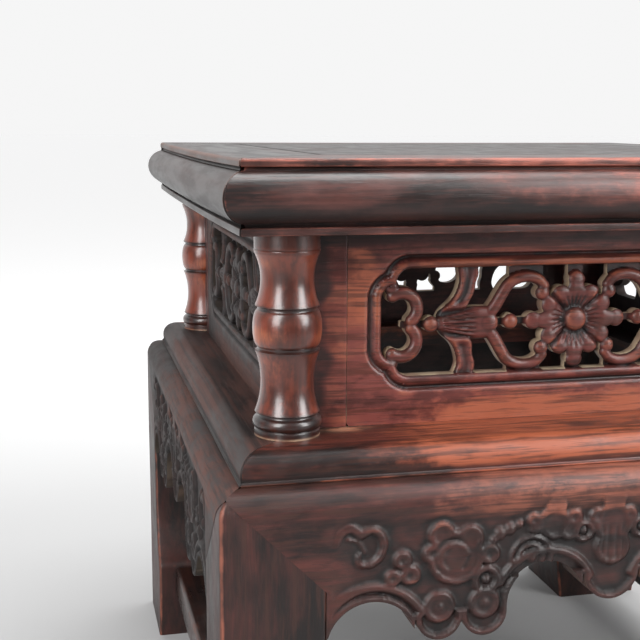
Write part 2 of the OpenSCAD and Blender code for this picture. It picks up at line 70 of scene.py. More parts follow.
def turned(points, quarters):
    """Points turned round the stand's upright axis by that many quarter turns: x, y becomes -y, x each time."""
    c, s = ((1, 0), (0, 1), (-1, 0), (0, -1))[quarters % 4]
    x, y, z = points[..., 0], points[..., 1], points[..., 2]
    return np.stack([c * x - s * y, s * x + c * y, z], -1)


def hand_planed(points, depth):
    """Points drawn towards the stand's upright axis by 0 to depth, in slow crossed sine waves, as planing leaves
    the faces of a hand-made piece."""
    x, y, z = points[..., 0], points[..., 1], points[..., 2]
    wave = 0.5 + 0.25 * np.sin(x / 31 + z / 47 + 1.1) + 0.25 * np.sin(y / 37 - z / 23 + 0.4)
    return points - depth * wave[..., None] * np.stack([x / face, y / face, 0 * z], -1)


def smooth_step(value, low, high):
    """0 below low, 1 above high and 3t^2 - 2t^3 between them."""
    t = np.clip((value - low) / (high - low), 0, 1)
    return t * t * (3 - 2 * t)


def spread(mask, times=1):
    """A mask averaged with its neighbours on the grid, so that it fades out."""
    for _ in range(times):
        wide = np.pad(mask, 1, mode="edge")
        mask = (wide[1:-1, :-2] + wide[1:-1, 2:] + wide[:-2, 1:-1] + wide[2:, 1:-1] + 2 * mask) / 6
    return mask


def bend_masks(points, wraps=(False, False), sharp=0.6):
    """Worn and hollow masks of a grid surface. Along each way of the grid, the turn of the line at a point, taken
    along the outward normal and divided by its spacing, is a curvature: outward bends of about `sharp` per mm are
    worn edges, and inward ones are hollows that keep dirt."""
    normal = np.cross(np.gradient(points, axis=1), np.gradient(points, axis=0))
    normal /= np.linalg.norm(normal, axis=-1, keepdims=True) + 1e-9
    bend = []
    for axis in (0, 1):
        ahead, behind = np.roll(points, -1, axis) - points, points - np.roll(points, 1, axis)
        far, near = (np.linalg.norm(d, axis=-1, keepdims=True) + 1e-6 for d in (ahead, behind))
        along = -((ahead / far - behind / near) * normal).sum(-1) / (far + near)[..., 0] * 2
        if not wraps[axis]:
            ends = np.moveaxis(along, axis, 0)
            ends[0], ends[-1] = ends[1], ends[-2]
        bend.append(along)
    worn = np.clip(np.maximum(*bend) / sharp, 0, 1)
    hollow = np.clip(-np.minimum(*bend) / sharp, 0, 1)
    return np.stack([0.6 * spread(worn), spread(hollow), 0 * worn], -1)


def rounded_outline(per_side, per_corner):
    """A square outline, anticlockwise from the lower right corner, as places in the unit square and unit outward
    bulges: a corner's places stay while its bulge turns a quarter, and a side's places run while its bulge stays."""
    places, bulges = [], []
    square = np.array([(1, 0), (1, 1), (0, 1), (0, 0), (1, 0)], float)
    for k in range(4):
        angle = np.radians(90 * k - 90 + np.linspace(0, 90, per_corner))
        run = np.linspace(0, 1, per_side + 1)[1:-1, None]
        places += [np.repeat(square[k:k + 1], per_corner, 0), square[k] + run * (square[k + 1] - square[k])]
        arc = np.stack([np.cos(angle), np.sin(angle)], -1)
        bulges += [arc, np.repeat(arc[-1:], per_side - 1, 0)]
    return np.concatenate(places), np.concatenate(bulges)


def capped_tube(points, wear=None):
    """Shell of a grid whose columns close into rings: the quads between the rings, and a fan to the middle of the
    first and the last ring. Returns points, faces and masks."""
    rows, cols, _ = points.shape
    masks = bend_masks(points, (False, True)) if wear is None else wear
    flat = np.concatenate([points.reshape(-1, 3), [points[0].mean(0), points[-1].mean(0)]])
    ring = np.arange(cols)
    on = np.roll(ring, -1)
    last, middle = (rows - 1) * cols, rows * cols
    low = np.stack([on, ring, 0 * ring + middle], -1)
    high = np.stack([last + ring, last + on, 0 * ring + middle + 1], -1)
    masks = np.concatenate([masks.reshape(-1, 3), np.zeros((2, 3))])
    return flat, [grid_quads(rows, cols, wrap_cols=True), low, high], masks


def square_tube(z, inner, outer, edge, outline):
    """Tube of square section in the back right corner of the plan: on each axis its faces stand at distance inner
    and outer from the centre, with edges rounded to radius edge. z and inner are rows by columns, and outer is such
    a grid or one for each axis."""
    places, bulges = outline
    outer = outer if isinstance(outer, tuple) else (outer, outer)
    xy = [inner + edge + (outer[k] - inner - 2 * edge) * places[:, k] + edge * bulges[:, k] for k in (0, 1)]
    return np.stack([*xy, z + 0 * xy[0]], -1)


def hoof_inner(z):
    """Inner face of a leg against height: set back at the floor, upright at the toe, then a hollow arc to the leg."""
    rise = hoof_start - toe_h
    reach = leg_in - toe_in
    radius = (rise**2 + reach**2) / (2 * reach)
    arc = leg_in - radius + np.sqrt(np.maximum(radius**2 - (hoof_start - z)**2, 0))
    foot = toe_in + toe_back * np.clip(1 - z / toe_foot, 0, 1)
    return np.where(z > hoof_start, leg_in, np.where(z > toe_h, arc, foot))


def shoulder_face(z):
    """Outer face of leg and apron against height: upright, then a quarter round up to the shoulder."""
    over = np.clip(z - (shoulder - shoulder_r), 0, shoulder_r)
    return face - shoulder_r + np.sqrt(shoulder_r**2 - over**2)


def leg_shells():
    """The leg up to the mitres of its aprons, and the head behind the aprons. The leg's top is cut at 45 degrees: it
    is as far below the shoulder as the place lies inside the face."""
    outline = rounded_outline(14, 6)
    up = np.linspace(0, 1, 120)[:, None]
    passes, ease = 24, 1.5
    top_z = np.full((1, len(outline[0])), shoulder)
    for _ in range(passes):
        plan = square_tube(top_z, leg_in + 0 * top_z, shoulder_face(top_z), leg_edge, outline)
        top_z = (top_z + shoulder - face + plan[..., :2].min(-1)) / 2
    z = up * top_z
    inner = (hoof_inner(z - ease) + hoof_inner(z) + hoof_inner(z + ease)) / 3
    leg = square_tube(z, inner, shoulder_face(z), leg_edge, outline)
    cove = leg_in - post_in
    head_z = shoulder - head_h - cove + up[::4] * (head_h + cove)
    cove_z = np.minimum(head_z - head_z[0], cove)
    head_inner = post_in + np.sqrt(cove**2 - cove_z**2)
    head = square_tube(head_z, head_inner, face - apron_t + 0 * head_z, 1, rounded_outline(4, 3))
    shells = [capped_tube(hand_planed(part, 0.3)) for part in (leg, head)]
    for _, _, masks in shells:
        masks[:, 0] *= 1.7
    return shells


def post_shell(out_x, out_y):
    """The square post through the waist. Painted shade darkens it beside the column, out to an uneven line, and in a
    band below the top frame. The rest is rubbed."""
    z = np.linspace(shoulder - 1, soffit, 60)[:, None]
    points = square_tube(z, post_in + 0 * z, (out_x + 0 * z, out_y + 0 * z), 0.5, rounded_outline(24, 4))
    flat, faces, _ = capped_tube(points)
    x, y, z = flat.T
    painted_shade_width = 26 + 2.5 * np.sin(z / 7) + 1.5 * np.sin(z / 3.1 + 1)
    beside = smooth_step(painted_shade_width - np.maximum(out_x - x, out_y - y), 0, 5)
    # This hollow mask is painted shade: dark beside the column and in a band just below the top frame.
    stain = 0.8 * beside + 0.85 * smooth_step(z, soffit - 11, soffit - 8)
    return flat, faces, np.stack([0.5 * (1 - beside), np.clip(stain, 0, 1), 0 * beside], -1)


def add_piece(name, node, shells, quarters, finish, crease=38):
    """Makes a mesh piece of shells, each of points in mm, faces and masks, turned to its side of the stand, and
    puts it in the place of its CAD node. Edges that turn by more than crease degrees stay sharp."""
    starts = np.cumsum([0] + [len(shell[0]) for shell in shells])
    points = np.concatenate([turned(shell[0], quarters) for shell in shells]) * mm
    faces = [f + start for shell, start in zip(shells, starts) for f in shell[1]]
    corners = np.concatenate([f.ravel() for f in faces])
    sizes = np.concatenate([np.full(len(f), f.shape[1]) for f in faces])
    mesh = bpy.data.meshes.new(name)
    mesh.vertices.add(len(points))
    mesh.vertices.foreach_set("co", points.astype(np.float32).ravel())
    mesh.loops.add(len(corners))
    mesh.loops.foreach_set("vertex_index", corners.astype(np.int32))
    mesh.polygons.add(len(sizes))
    mesh.polygons.foreach_set("loop_start", (np.cumsum(sizes) - sizes).astype(np.int32))
    masks = np.concatenate([shell[2] for shell in shells]).astype(np.float32)
    for label, values in zip(("worn", "hollow", "dust"), masks.T):
        mesh.attributes.new(label, "FLOAT", "POINT").data.foreach_set("value", np.ascontiguousarray(values))
    mesh.update(calc_edges=True)
    mesh.validate()
    mesh.shade_smooth()
    mesh.set_sharp_from_angle(angle=np.radians(crease))
    mesh.materials.append(finish)
    piece = bpy.data.objects.new(name, mesh)
    bpy.context.scene.collection.objects.link(piece)
    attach(piece, "root")
    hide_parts(node)


def add_node(tree, kind, inputs=None, **settings):
    """Adds a shader node, sets its settings, and sets or links its inputs."""
    made = tree.nodes.new(kind)
    for key, value in settings.items():
        setattr(made, key, value)
    for key, value in (inputs or {}).items():
        if isinstance(value, bpy.types.NodeSocket):
            tree.links.new(value, made.inputs[key])
        else:
            made.inputs[key].default_value = value
    return made


def mixed(tree, factor, a, b):
    """Colour a turned into colour b by a factor."""
    return add_node(tree, "ShaderNodeMix", {0: factor, 6: a, 7: b}, data_type="RGBA").outputs[2]


def sums(tree, operation, *values):
    """One arithmetic operation carried through the values from left to right."""
    return reduce(lambda a, b: add_node(tree, "ShaderNodeMath", {0: a, 1: b}, operation=operation).outputs[0], values)


def ranged(tree, value, low, high, to_low=0.0, to_high=1.0):
    """A value taken smoothly from one range to another."""
    step = add_node(tree, "ShaderNodeMapRange", {"Value": value, 1: low, 2: high, 3: to_low, 4: to_high},
                    interpolation_type="SMOOTHSTEP")
    return step.outputs[0]


def new_group(name, inputs, outputs):
    """An empty shader group with named sockets, and its two ends."""
    group = bpy.data.node_groups.new(name, "ShaderNodeTree")
    for way, sockets in (("INPUT", inputs), ("OUTPUT", outputs)):
        for label, kind in sockets.items():
            group.interface.new_socket(label, in_out=way, socket_type="NodeSocket" + kind)
    return group, group.nodes.new("NodeGroupInput").outputs, group.nodes.new("NodeGroupOutput").inputs


def rosewood_grain():
    """Group: fine streaks, open pores, large patches and spotty grime of old rosewood, drawn out along the vector's
    X. Each is a noise with that axis squeezed, taken to a mask from 0 to 1. A slow noise sways the lines a little."""
    group, given, out = new_group("rosewood grain", {"Vector": "Vector"},
                                  {"Streak": "Float", "Pores": "Float", "Patch": "Float", "Grime": "Float"})
    sway = add_node(group, "ShaderNodeTexNoise", {"Vector": given["Vector"], "Scale": 14.0, "Detail": 2.0})
    swayed = add_node(group, "ShaderNodeMix", {0: 0.004, 4: given["Vector"], 5: sway.outputs[1]},
                      data_type="VECTOR").outputs[1]
    makes = {"Streak": (0.045, 420.0, 5.0, 0.30, 0.70), "Pores": (0.03, 1500.0, 2.0, 0.58, 0.70),
             "Patch": (0.30, 34.0, 5.0, 0.32, 0.68), "Grime": (0.7, 90.0, 5.0, 0.36, 0.66)}
    for label, (squeeze, scale, detail, low, high) in makes.items():
        drawn = add_node(group, "ShaderNodeMapping", {"Vector": swayed, "Scale": (squeeze, 1, 1)})
        noise = add_node(group, "ShaderNodeTexNoise",
                         {"Vector": drawn.outputs[0], "Scale": scale, "Detail": detail, "Roughness": 0.62})
        group.links.new(ranged(group, noise.outputs[0], low, high), out[label])
    return group


def old_lacquer():
    """Group: dark lacquer over red wood. The red shows where patches and streaks meet, worn places go to the bare
    colour with dark streaks left in it, the hollow mask is darkened, both dirt in hollows and painted shade, and dust
    lies over all."""
    colours = {label: "Color" for label in ("Dark", "Red", "Bare", "Dusty")}
    values = {label: "Float" for label in ("Redness", "Figure", "Gloss", "Streak", "Pores", "Patch", "Grime", "Worn",
                                           "Hollow", "Dust")}
    group, given, out = new_group("old lacquer", {**colours, **values},
                                  {"Color": "Color", "Roughness": "Float", "Height": "Float"})

    plus, minus, times = (partial(sums, group, operation) for operation in ("ADD", "SUBTRACT", "MULTIPLY"))

    def blend(first, share, second, other):
        """Two values, each times its share, added."""
        return plus(times(first, share), times(second, other))

    streak = plus(0.5, times(minus(given["Streak"], 0.5), given["Figure"]))
    figure = blend(given["Patch"], 0.62, streak, 0.38)
    show = ranged(group, plus(figure, given["Redness"]), 0.35, 1.05)
    colour = mixed(group, show, given["Dark"], given["Red"])
    ragged = blend(figure, 0.50, given["Grime"], 0.30)
    rubbed = ranged(group, plus(given["Worn"], ragged), 0.70, 1.35)
    colour = mixed(group, rubbed, colour, given["Bare"])
    dark_streak = times(ranged(group, given["Streak"], 0.55, 0.15), given["Figure"], 0.85)
    colour = mixed(group, dark_streak, colour, mixed(group, 0.18, given["Dark"], given["Bare"]))
    colour = mixed(group, times(given["Pores"], given["Figure"], 0.5), colour, given["Dark"])
    free = minus(1.0, times(given["Worn"], 0.5))
    stain = times(ranged(group, blend(given["Patch"], 0.65, given["Grime"], 0.35), 0.42, 0.12), free, 0.62)
    colour = mixed(group, stain, colour, given["Dark"])
    # The hollow mask holds dirt in hollows and, on some pieces, painted shade; both are darkened here.
    kept = times(given["Hollow"], ranged(group, given["Grime"], 0.0, 1.0, 0.7, 1.0))
    colour = mixed(group, kept, colour, mixed(group, 0.6, given["Dark"], (0.003, 0.002, 0.002, 1)))
    dusted = times(given["Dust"], ranged(group, given["Grime"], 0.0, 1.0, 0.45, 1.0))
    colour = mixed(group, dusted, colour, given["Dusty"])
    group.links.new(colour, out["Color"])
    rough = plus(blend(given["Grime"], 0.10, given["Patch"], 0.06), given["Gloss"], blend(kept, 0.12, dusted, 0.45))
    group.links.new(plus(rough, times(rubbed, 0.08)), out["Roughness"])
    height = minus(blend(given["Streak"], 0.4, given["Grime"], 0.4), given["Pores"])
    group.links.new(times(height, given["Figure"]), out["Height"])
    return group


GRAIN, LACQUER = rosewood_grain(), old_lacquer()
GRAIN_TURNS = {"x": (0, 0, 0), "y": (0, 0, np.pi / 2), "z": (0, np.pi / 2, 0)}


def lacquered(name, grain, redness, dark, red, bare, figure=0.8, gloss=0.24, dusty=(0.50, 0.39, 0.26), coat=0.0,
              shift=0.0, squeeze=1.0):
    """Material of a lacquered rosewood piece whose grain runs along one axis of the stand. A squeeze below 1 draws the
    grain out further, and a shift takes it from another place in the wood."""
    material = bpy.data.materials.new(f"{name} grain along {grain}")
    material.use_nodes = True
    tree = material.node_tree
    shader = tree.nodes["Principled BSDF"]
    place = add_node(tree, "ShaderNodeTexCoord").outputs["Object"]
    drawn = add_node(tree, "ShaderNodeMapping",
                     {"Vector": place, "Location": (shift, shift, shift), "Rotation": GRAIN_TURNS[grain],
                      "Scale": [squeeze if axis == grain else 1.0 for axis in "xyz"]})
    wood = add_node(tree, "ShaderNodeGroup", node_tree=GRAIN)
    tree.links.new(drawn.outputs[0], wood.inputs["Vector"])
    masks = {label.capitalize(): add_node(tree, "ShaderNodeAttribute", attribute_name=label).outputs["Fac"]
             for label in ("worn", "hollow", "dust")}
    finish = add_node(tree, "ShaderNodeGroup", node_tree=LACQUER)
    colours = {"Dark": (*dark, 1), "Red": (*red, 1), "Bare": (*bare, 1), "Dusty": (*dusty, 1),
               "Redness": redness, "Figure": figure, "Gloss": gloss}
    for label, value in colours.items():
        finish.inputs[label].default_value = value
    for label, socket in {**{s.name: s for s in wood.outputs}, **masks}.items():
        tree.links.new(socket, finish.inputs[label])
    relief = add_node(tree, "ShaderNodeBump",
                      {"Strength": 0.22, "Distance": 0.0005, "Height": finish.outputs["Height"]})
    tree.links.new(finish.outputs["Color"], shader.inputs["Base Color"])
    tree.links.new(finish.outputs["Roughness"], shader.inputs["Roughness"])
    tree.links.new(relief.outputs[0], shader.inputs["Normal"])
    shader.inputs["IOR"].default_value = 1.48
    shader.inputs["Coat Weight"].default_value = coat
    shader.inputs["Coat Roughness"].default_value = 0.21
    return material


leg_finish = lacquered("leg lacquer", "z", redness=0.0, dark=(0.009, 0.0062, 0.006), red=(0.068, 0.0195, 0.0155),
                       bare=(0.24, 0.075, 0.045), figure=0.6, gloss=0.40)
waist_dark, waist_red, waist_shift = (0.009, 0.0042, 0.0042), (0.150, 0.037, 0.030), 0.055
post_finish = lacquered("post lacquer", "x", redness=0.72, dark=waist_dark, red=waist_red, bare=(0.28, 0.076, 0.040),
                        gloss=0.28, shift=waist_shift)
leg = leg_shells()
posts = [[post_shell(*faces)] for faces in ((side_waist, waist), (waist, side_waist))]
for quarter, corner in enumerate(CORNERS):
    add_piece(f"carved_leg_{corner}", f"leg_{corner}", leg, quarter, leg_finish)
    add_piece(f"waist_post_{corner}", f"leg_{corner}", posts[quarter % 2], quarter, post_finish)

# Foot stretchers: four plain square bars of dark rosewood that tie the hoof feet together near the floor.
# Planed with eased edges, and tenoned into the toes of the legs.
bar_low, bar_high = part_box("stretcher_back")
bar_end, bar_edge, bar_steps = toe_in + 1, 3, 30


def rounded_block(low, high, edge, along, insets=(1.0,)):
    """A block with all edges rounded: the outline is a rounded rectangle, and the rows swing from the lower face
    over the lower edge, up the sides and over the upper edge. Long sides have `along` steps. The first and last rows
    lie on the flat faces, that many mm inside their edges, so that these faces shade flat."""
    places, bulges = rounded_outline(along, 5)
    swing = np.radians(np.concatenate([np.linspace(-84, 0, 5), np.linspace(0, 84, 5)]))[:, None]
    upper = np.repeat([0, 1], 5)[:, None]
    low, high = np.asarray(low), np.asarray(high)
    span = high - low - 2 * edge
    xy = [low[k] + edge + span[k] * places[:, k] + edge * np.cos(swing) * bulges[:, k] for k in (0, 1)]
    z = low[2] + edge + span[2] * upper + edge * np.sin(swing)
    sides = np.stack([*xy, z + 0 * xy[0]], -1)
    middle = (low + high) / 2
    share = 1 - 2 * np.array(insets)[:, None, None] / (high - low)
    under, over = (middle + (ring - middle) * share for ring in (sides[0], sides[-1]))
    under[..., 2], over[..., 2] = low[2], high[2]
    return np.concatenate([under[::-1], sides, over])


def both_ways(name, front, side, **same):
    """The finish of the front and back pieces, with its grain along x, and that of the side ones, along y.
    Where the side ones are given darker colours, that darkness is painted shade on the left and right sides.
    """
    return [lacquered(name, grain, **same, **own) for grain, own in (("x", front), ("y", side))]


def add_four(label, node, places, shapes, finishes):
    """Makes four pieces, each a quarter turn on from the one before. Two shapes or two finishes take turns."""
    for quarter, place in enumerate(places):
        add_piece(f"{label}_{place}", f"{node}_{place}", [shapes[quarter % len(shapes)]], quarter,
                  finishes[quarter % len(finishes)])


bar = rounded_block((-bar_end, bar_low.y / mm, bar_low.z / mm), (bar_end, bar_high.y / mm, bar_high.z / mm),
                    bar_edge, bar_steps)
bar_finishes = both_ways("stretcher lacquer", {}, {}, redness=0.02, dark=(0.010, 0.006, 0.0055),
                         red=(0.055, 0.017, 0.012), bare=(0.17, 0.055, 0.03))
add_four("foot_stretcher", "stretcher", ("back", "left", "front", "right"),
         [capped_tube(hand_planed(bar, 0.5))], bar_finishes)

# Aprons: four boards with a rounded shoulder and a scalloped lower edge, carved in low relief with clouds, leaves
# and beads on a sunk ground. Cut and carved in one piece, mitred and tenoned into the legs.
SIDES = ("front", "right", "back", "left")
lobe_z = shoulder - 82
pendant_w, pendant_up = 15, 13
notch_r, notch_side, spandrel_r = 21, 15, 23
notch_at = pendant_w + notch_r
lobe_in, lobe_out = notch_at + notch_r, leg_in - 2 * spandrel_r
tip_r = (lobe_out - lobe_in) / 4
ground_d = 2.6


def cut_board(u, v, inside, front, back, masks, rim_masks, mitre=None):
    """Board in the front plane of the stand, sawn out where the field `inside` is above zero. u and v are the grid's
    places across and up, front is the distance of its face from the centre at each grid point, and back that of its
    flat back. Each cell is cut along the zero line by the sixteen cases of marching squares, the same outline is laid
    on the back, and walls join the two, with rim_masks as the masks of their front and back edges. With a mitre, the
    back is drawn in past its first distance, so that its second distance comes to the third."""
    rows, cols = inside.shape
    solid = inside > 0
    across = solid[:, 1:] != solid[:, :-1]
    upward = solid[1:] != solid[:-1]
    number = np.full((rows, cols), -1)
    corner_count = count = solid.sum()
    number[solid] = np.arange(count)
    layers = np.dstack([*np.meshgrid(u, v), front, masks])
    kept, crossing = [layers[solid]], []
    for mask, first, second in ((across, np.s_[:, :-1], np.s_[:, 1:]), (upward, np.s_[:-1], np.s_[1:])):
        f0, f1 = inside[first][mask], inside[second][mask]
        l0, l1 = layers[first][mask], layers[second][mask]
        numbers = np.full(mask.shape, -1)
        numbers[mask] = count + np.arange(mask.sum())
        count += mask.sum()
        kept.append(l0 + (f0 / (f0 - f1))[:, None] * (l1 - l0))
        crossing.append(numbers)
    c = [number[:-1, :-1], number[:-1, 1:], number[1:, 1:], number[1:, :-1]]
    e = [crossing[0][:-1], crossing[1][:, 1:], crossing[0][1:], crossing[1][:, :-1]]
    case = sum((k >= 0) * 2**n for n, k in enumerate(c))
    shapes = {
        1: ["c0 e0 e3"], 2: ["c1 e1 e0"], 3: ["c0 c1 e1 e3"], 4: ["c2 e2 e1"], 5: ["c0 e0 e3", "c2 e2 e1"],
        6: ["c1 c2 e2 e0"], 7: ["c0 c1 c2 e2 e3"], 8: ["c3 e3 e2"], 9: ["c0 e0 e2 c3"],
        10: ["c1 e1 e0", "c3 e3 e2"], 11: ["c0 c1 e1 e2 c3"], 12: ["c2 c3 e3 e1"], 13: ["c0 e0 e1 c2 c3"],
        14: ["c1 c2 c3 e3 e0"], 15: ["c0 c1 c2 c3"],
    }
    faces, rims = [], []
    for which, outlines in shapes.items():
        here = case == which
        for outline in outlines:
            names = outline.split()
            faces.append(np.stack([(c if n[0] == "c" else e)[int(n[1])][here] for n in names], -1))
            for a, b in zip(names, names[1:] + names[:1]):
                if a[0] == b[0] == "e":
                    rims.append(np.stack([e[int(a[1])][here], e[int(b[1])][here]], -1))
    data = np.concatenate(kept)
    face_points = np.stack([data[:, 0], -data[:, 2], data[:, 1]], -1)
    drawn_in = data[:, 0]
    if mitre:
        start, end, to = mitre
        drawn_in = np.sign(drawn_in) * np.interp(np.abs(drawn_in), [0, start, end], [0, start, to])
    back_points = np.stack([drawn_in, np.full(count, -back), data[:, 1]], -1)
    rim_points = [points[corner_count:] for points in (face_points, back_points)]
    lip = np.concatenate(rims) - corner_count + 2 * count
    deep = lip + count - corner_count
    walls = np.stack([lip[:, 1], lip[:, 0], deep[:, 0], deep[:, 1]], -1)
    wall_masks = [np.repeat([values], count - corner_count, 0) for values in rim_masks]
    # The flat back gets the hollow mask at 0.85: painted shade on the inner face of the board.
    back_masks = np.repeat([(0.0, 0.85, 0.0)], count, 0)
    points = np.concatenate([face_points, back_points, *rim_points])
    all_masks = np.concatenate([data[:, 3:], back_masks, *wall_masks])
    faces = [f for f in faces if len(f)]
    return points, faces + [f[:, ::-1] + count for f in faces] + [walls], all_masks


def relief_masks(u, v, front, sharp, height=0.9):
    """Worn and hollow masks of a carved face. The sum of its second slopes marks fine ridges and creases, and its
    distance over or under its own average over a few mm marks what stands high and what lies low."""
    curve = sum(np.gradient(np.gradient(front, g, axis=k), g, axis=k) for k, g in ((1, u), (0, v)))
    over = (front - spread(front, 40)) / height
    worn = 0.5 * spread(np.clip(-curve / sharp, 0, 1), 2) + 0.7 * np.clip(over, 0, 1)
    hollow = 0.7 * spread(np.clip(curve / sharp, 0, 1), 2) + np.clip(-over, 0, 1)
    return np.dstack([np.clip(worn, 0, 1), np.clip(hollow, 0, 1), 0 * worn])


def apron_inside(u, v):
    """Distance inside the apron's outline: mitred ends, pendant, arched notches, paired lobes and spandrel arches."""
    a = np.abs(u)
    ends = np.maximum(leg_in - a, (face - shoulder + v - a) / np.sqrt(2))
    ends = np.minimum(ends, shoulder_face(v) - a)
    body = np.minimum.reduce([ends, v - lobe_z, shoulder - v])
    notch_z = lobe_z + notch_side
    notch = notch_r - np.where(v > notch_z, np.hypot(a - notch_at, v - notch_z), np.abs(a - notch_at))
    arch = spandrel_r - np.hypot(a - (leg_in - spandrel_r), v - lobe_z)
    pendant_z = lobe_z + pendant_up + pendant_w
    below_pendant = np.minimum(pendant_w + 1 - a, pendant_z - v)
    below_lobes = np.minimum(lobe_out + 1 - a, lobe_z + tip_r - v)
    body = np.minimum.reduce([body, -notch, -arch, -below_pendant, -below_lobes])
    rounds = [pendant_w - np.hypot(a, v - pendant_z)]
    rounds += [tip_r - np.hypot(a - x, v - lobe_z - tip_r) for x in (lobe_in + tip_r, lobe_out - tip_r)]
    return np.maximum.reduce([body, *rounds])


def disc(a, v, x, z, r):
    """Distance inside a disc."""
    return r - np.hypot(a - x, v - z)


def ring(a, v, x, z, r, half, start, stop):
    """Distance inside a band of that half width along an arc round a centre, from angle start to angle stop."""
    angle = np.degrees(np.arctan2(v - z, a - x))
    angle = (angle - start) % 360 + start
    ends = [disc(a, v, x + r * np.cos(np.radians(t)), z + r * np.sin(np.radians(t)), half) for t in (start, stop)]
    band = np.where(angle <= stop, half - np.abs(np.hypot(a - x, v - z) - r), -half)
    return np.maximum.reduce([band, *ends]) if stop - start < 360 else band


def crowned(inside, height, round_w):
    """Height of a raised shape with a round edge: a quarter ellipse up from its outline, level past round_w."""
    t = np.clip(inside / round_w, 0, 1)
    return height * np.sqrt(1 - (1 - t)**2)


def smooth_path(points, count=36):
    """A smooth line through given points: between two of them, the Catmull-Rom cubic of their neighbours."""
    points = np.asarray(points, float)
    wide = np.vstack([2 * points[0] - points[1], points, 2 * points[-1] - points[-2]])
    s = np.linspace(0, len(points) - 1, count)
    k = np.minimum(s.astype(int), len(points) - 2)
    t = (s - k)[:, None]
    p0, p1, p2, p3 = wide[k], wide[k + 1], wide[k + 2], wide[k + 3]
    return p1 + 0.5 * t * (p2 - p0 + t * (2 * p0 - 5 * p1 + 4 * p2 - p3 + t * (3 * p1 - 3 * p2 + p3 - p0)))


def stem(a, v, points, start_w, end_w):
    """Distance inside a stem that follows a smooth path, with a half width that goes evenly from start to end."""
    path = smooth_path(points)
    half = np.linspace(start_w, end_w, len(path))
    best = np.full(a.shape, -99.0)
    for (x0, z0), (x1, z1), h0, h1 in zip(path[:-1], path[1:], half[:-1], half[1:]):
        dx, dz = x1 - x0, z1 - z0
        t = np.clip(((a - x0) * dx + (v - z0) * dz) / (dx**2 + dz**2), 0, 1)
        best = np.maximum(best, h0 + t * (h1 - h0) - np.hypot(a - x0 - t * dx, v - z0 - t * dz))
    return best


def bell(offset, half):
    """1 where the offset is 0, falling off on both sides as e to the power of minus the square of offset / half."""
    return np.exp(-(offset / half)**2)


def apron_relief(u, v):
    """Height of the carving over its ground, mirrored about the middle: a hooked band, cloud heads with a curl in
    them, knobby leaves, a leaf of three lobes over an arch, beads and a middle leaf. Bodies are unions of discs with
    a rolled rim and a dished face, bands and curls are round stems, and the highest shape shows."""
    a = np.abs(u)

    def body(discs, dish=1.2):
        """Height of a union of discs."""
        inside = np.maximum.reduce([disc(a, v, *d) for d in discs])
        return crowned(inside, ground_d, 1.9) - dish * smooth_step(inside, 1.6, 4.4)

    def band(points, start_w, end_w, rise=ground_d):
        """Height of a round stem along a path."""
        return crowned(stem(a, v, points, start_w, end_w), rise, max(start_w, end_w))

    def bead(x, z, r):
        """Height of a round bead."""
        return crowned(disc(a, v, x, z, r), ground_d, r)

    def curl(x, z, r, half, start, stop, rise=ground_d):
        """Height of a round stem along an arc."""
        return crowned(ring(a, v, x, z, r, half, start, stop), rise, half)

    cloud = body([(97, 187, 5.2), (92, 196.4, 7.2), (77, 193.4, 7.2), (66.5, 184.5, 5.6), (84, 184, 14.5)])
    cloud -= 0.9 * bell(np.hypot(a - 87, v - 184.5) - 9.2, 0.8) * (v > 178)
    trefoil = body([(43.6, 200.4, 4.0), (31.8, 206.2, 5.5), (21.5, 200.0, 4.9), (33, 198, 9.2), (24, 194, 6),
                    (40, 195, 6)])
    trefoil *= smooth_step(np.hypot(a - 44, v - 180.5), 12.6, 13.8)
    heart = body([(0, 207.2, 6.2), (8.8, 199.4, 5), (0, 196, 11), (0, 183, 10)], 0.9)
    heart -= 0.6 * sum(bell(a - x, 0.6) for x in (2.4, 5.6)) * smooth_step(197 - v, 0, 5)
    spandrel = body([(112, 185, 5), (108, 177, 5.5), (117, 176, 4.5)])
    lobe_mids = [(x, lobe_z + tip_r + 5) for x in (lobe_in + tip_r, lobe_out - tip_r)]
    lobes = body([(*mid, 8.5) for mid in lobe_mids])
    raised = [
        cloud, trefoil, heart, spandrel, lobes,
        band([(145.6, 196.4), (143.6, 201.2), (138.4, 203.4), (134.0, 200.6)], 1.4, 2.5),
        band([(133.4, 199.8), (127.6, 201.7), (122.8, 198.2), (121.8, 192.6), (124, 187), (129, 183.6), (134, 185),
              (134.6, 189)], 2.6, 1.6),
        band([(140.2, 198.0), (134.6, 195.8), (131.2, 190.2)], 0.9, 0.7, 1.5),
        curl(85.6, 184.0, 7.2, 1.7, -60, 165), bead(92.4, 185.6, 3.1),
        bead(61.2, 194.6, 3.4), bead(56, 196.4, 3.2), bead(51, 198.6, 2.3), bead(64.6, 191.4, 2.4),
        bead(41.7, 196.2, 3.4), curl(16, 192.4, 4.4, 1.6, -180, 180), bead(16, 192.4, 2.0),
        curl(44, 180.5, 10.8, 1.4, -20, 200, 2.0), curl(44, 180.5, 6.6, 1.3, -20, 200, 1.8), bead(44, 180.5, 2.6),
        curl(notch_at, lobe_z + notch_side, notch_r + 6, 2.2, 25, 155),
        curl(leg_in - spandrel_r, lobe_z, spandrel_r + 7, 2.4, 35, 150),
        curl(68, 171, 6, 2, -30, 220), bead(68, 171, 2.4), *(bead(*mid, 3) for mid in lobe_mids),
    ]
    return np.clip(np.maximum.reduce(raised), 0, ground_d)


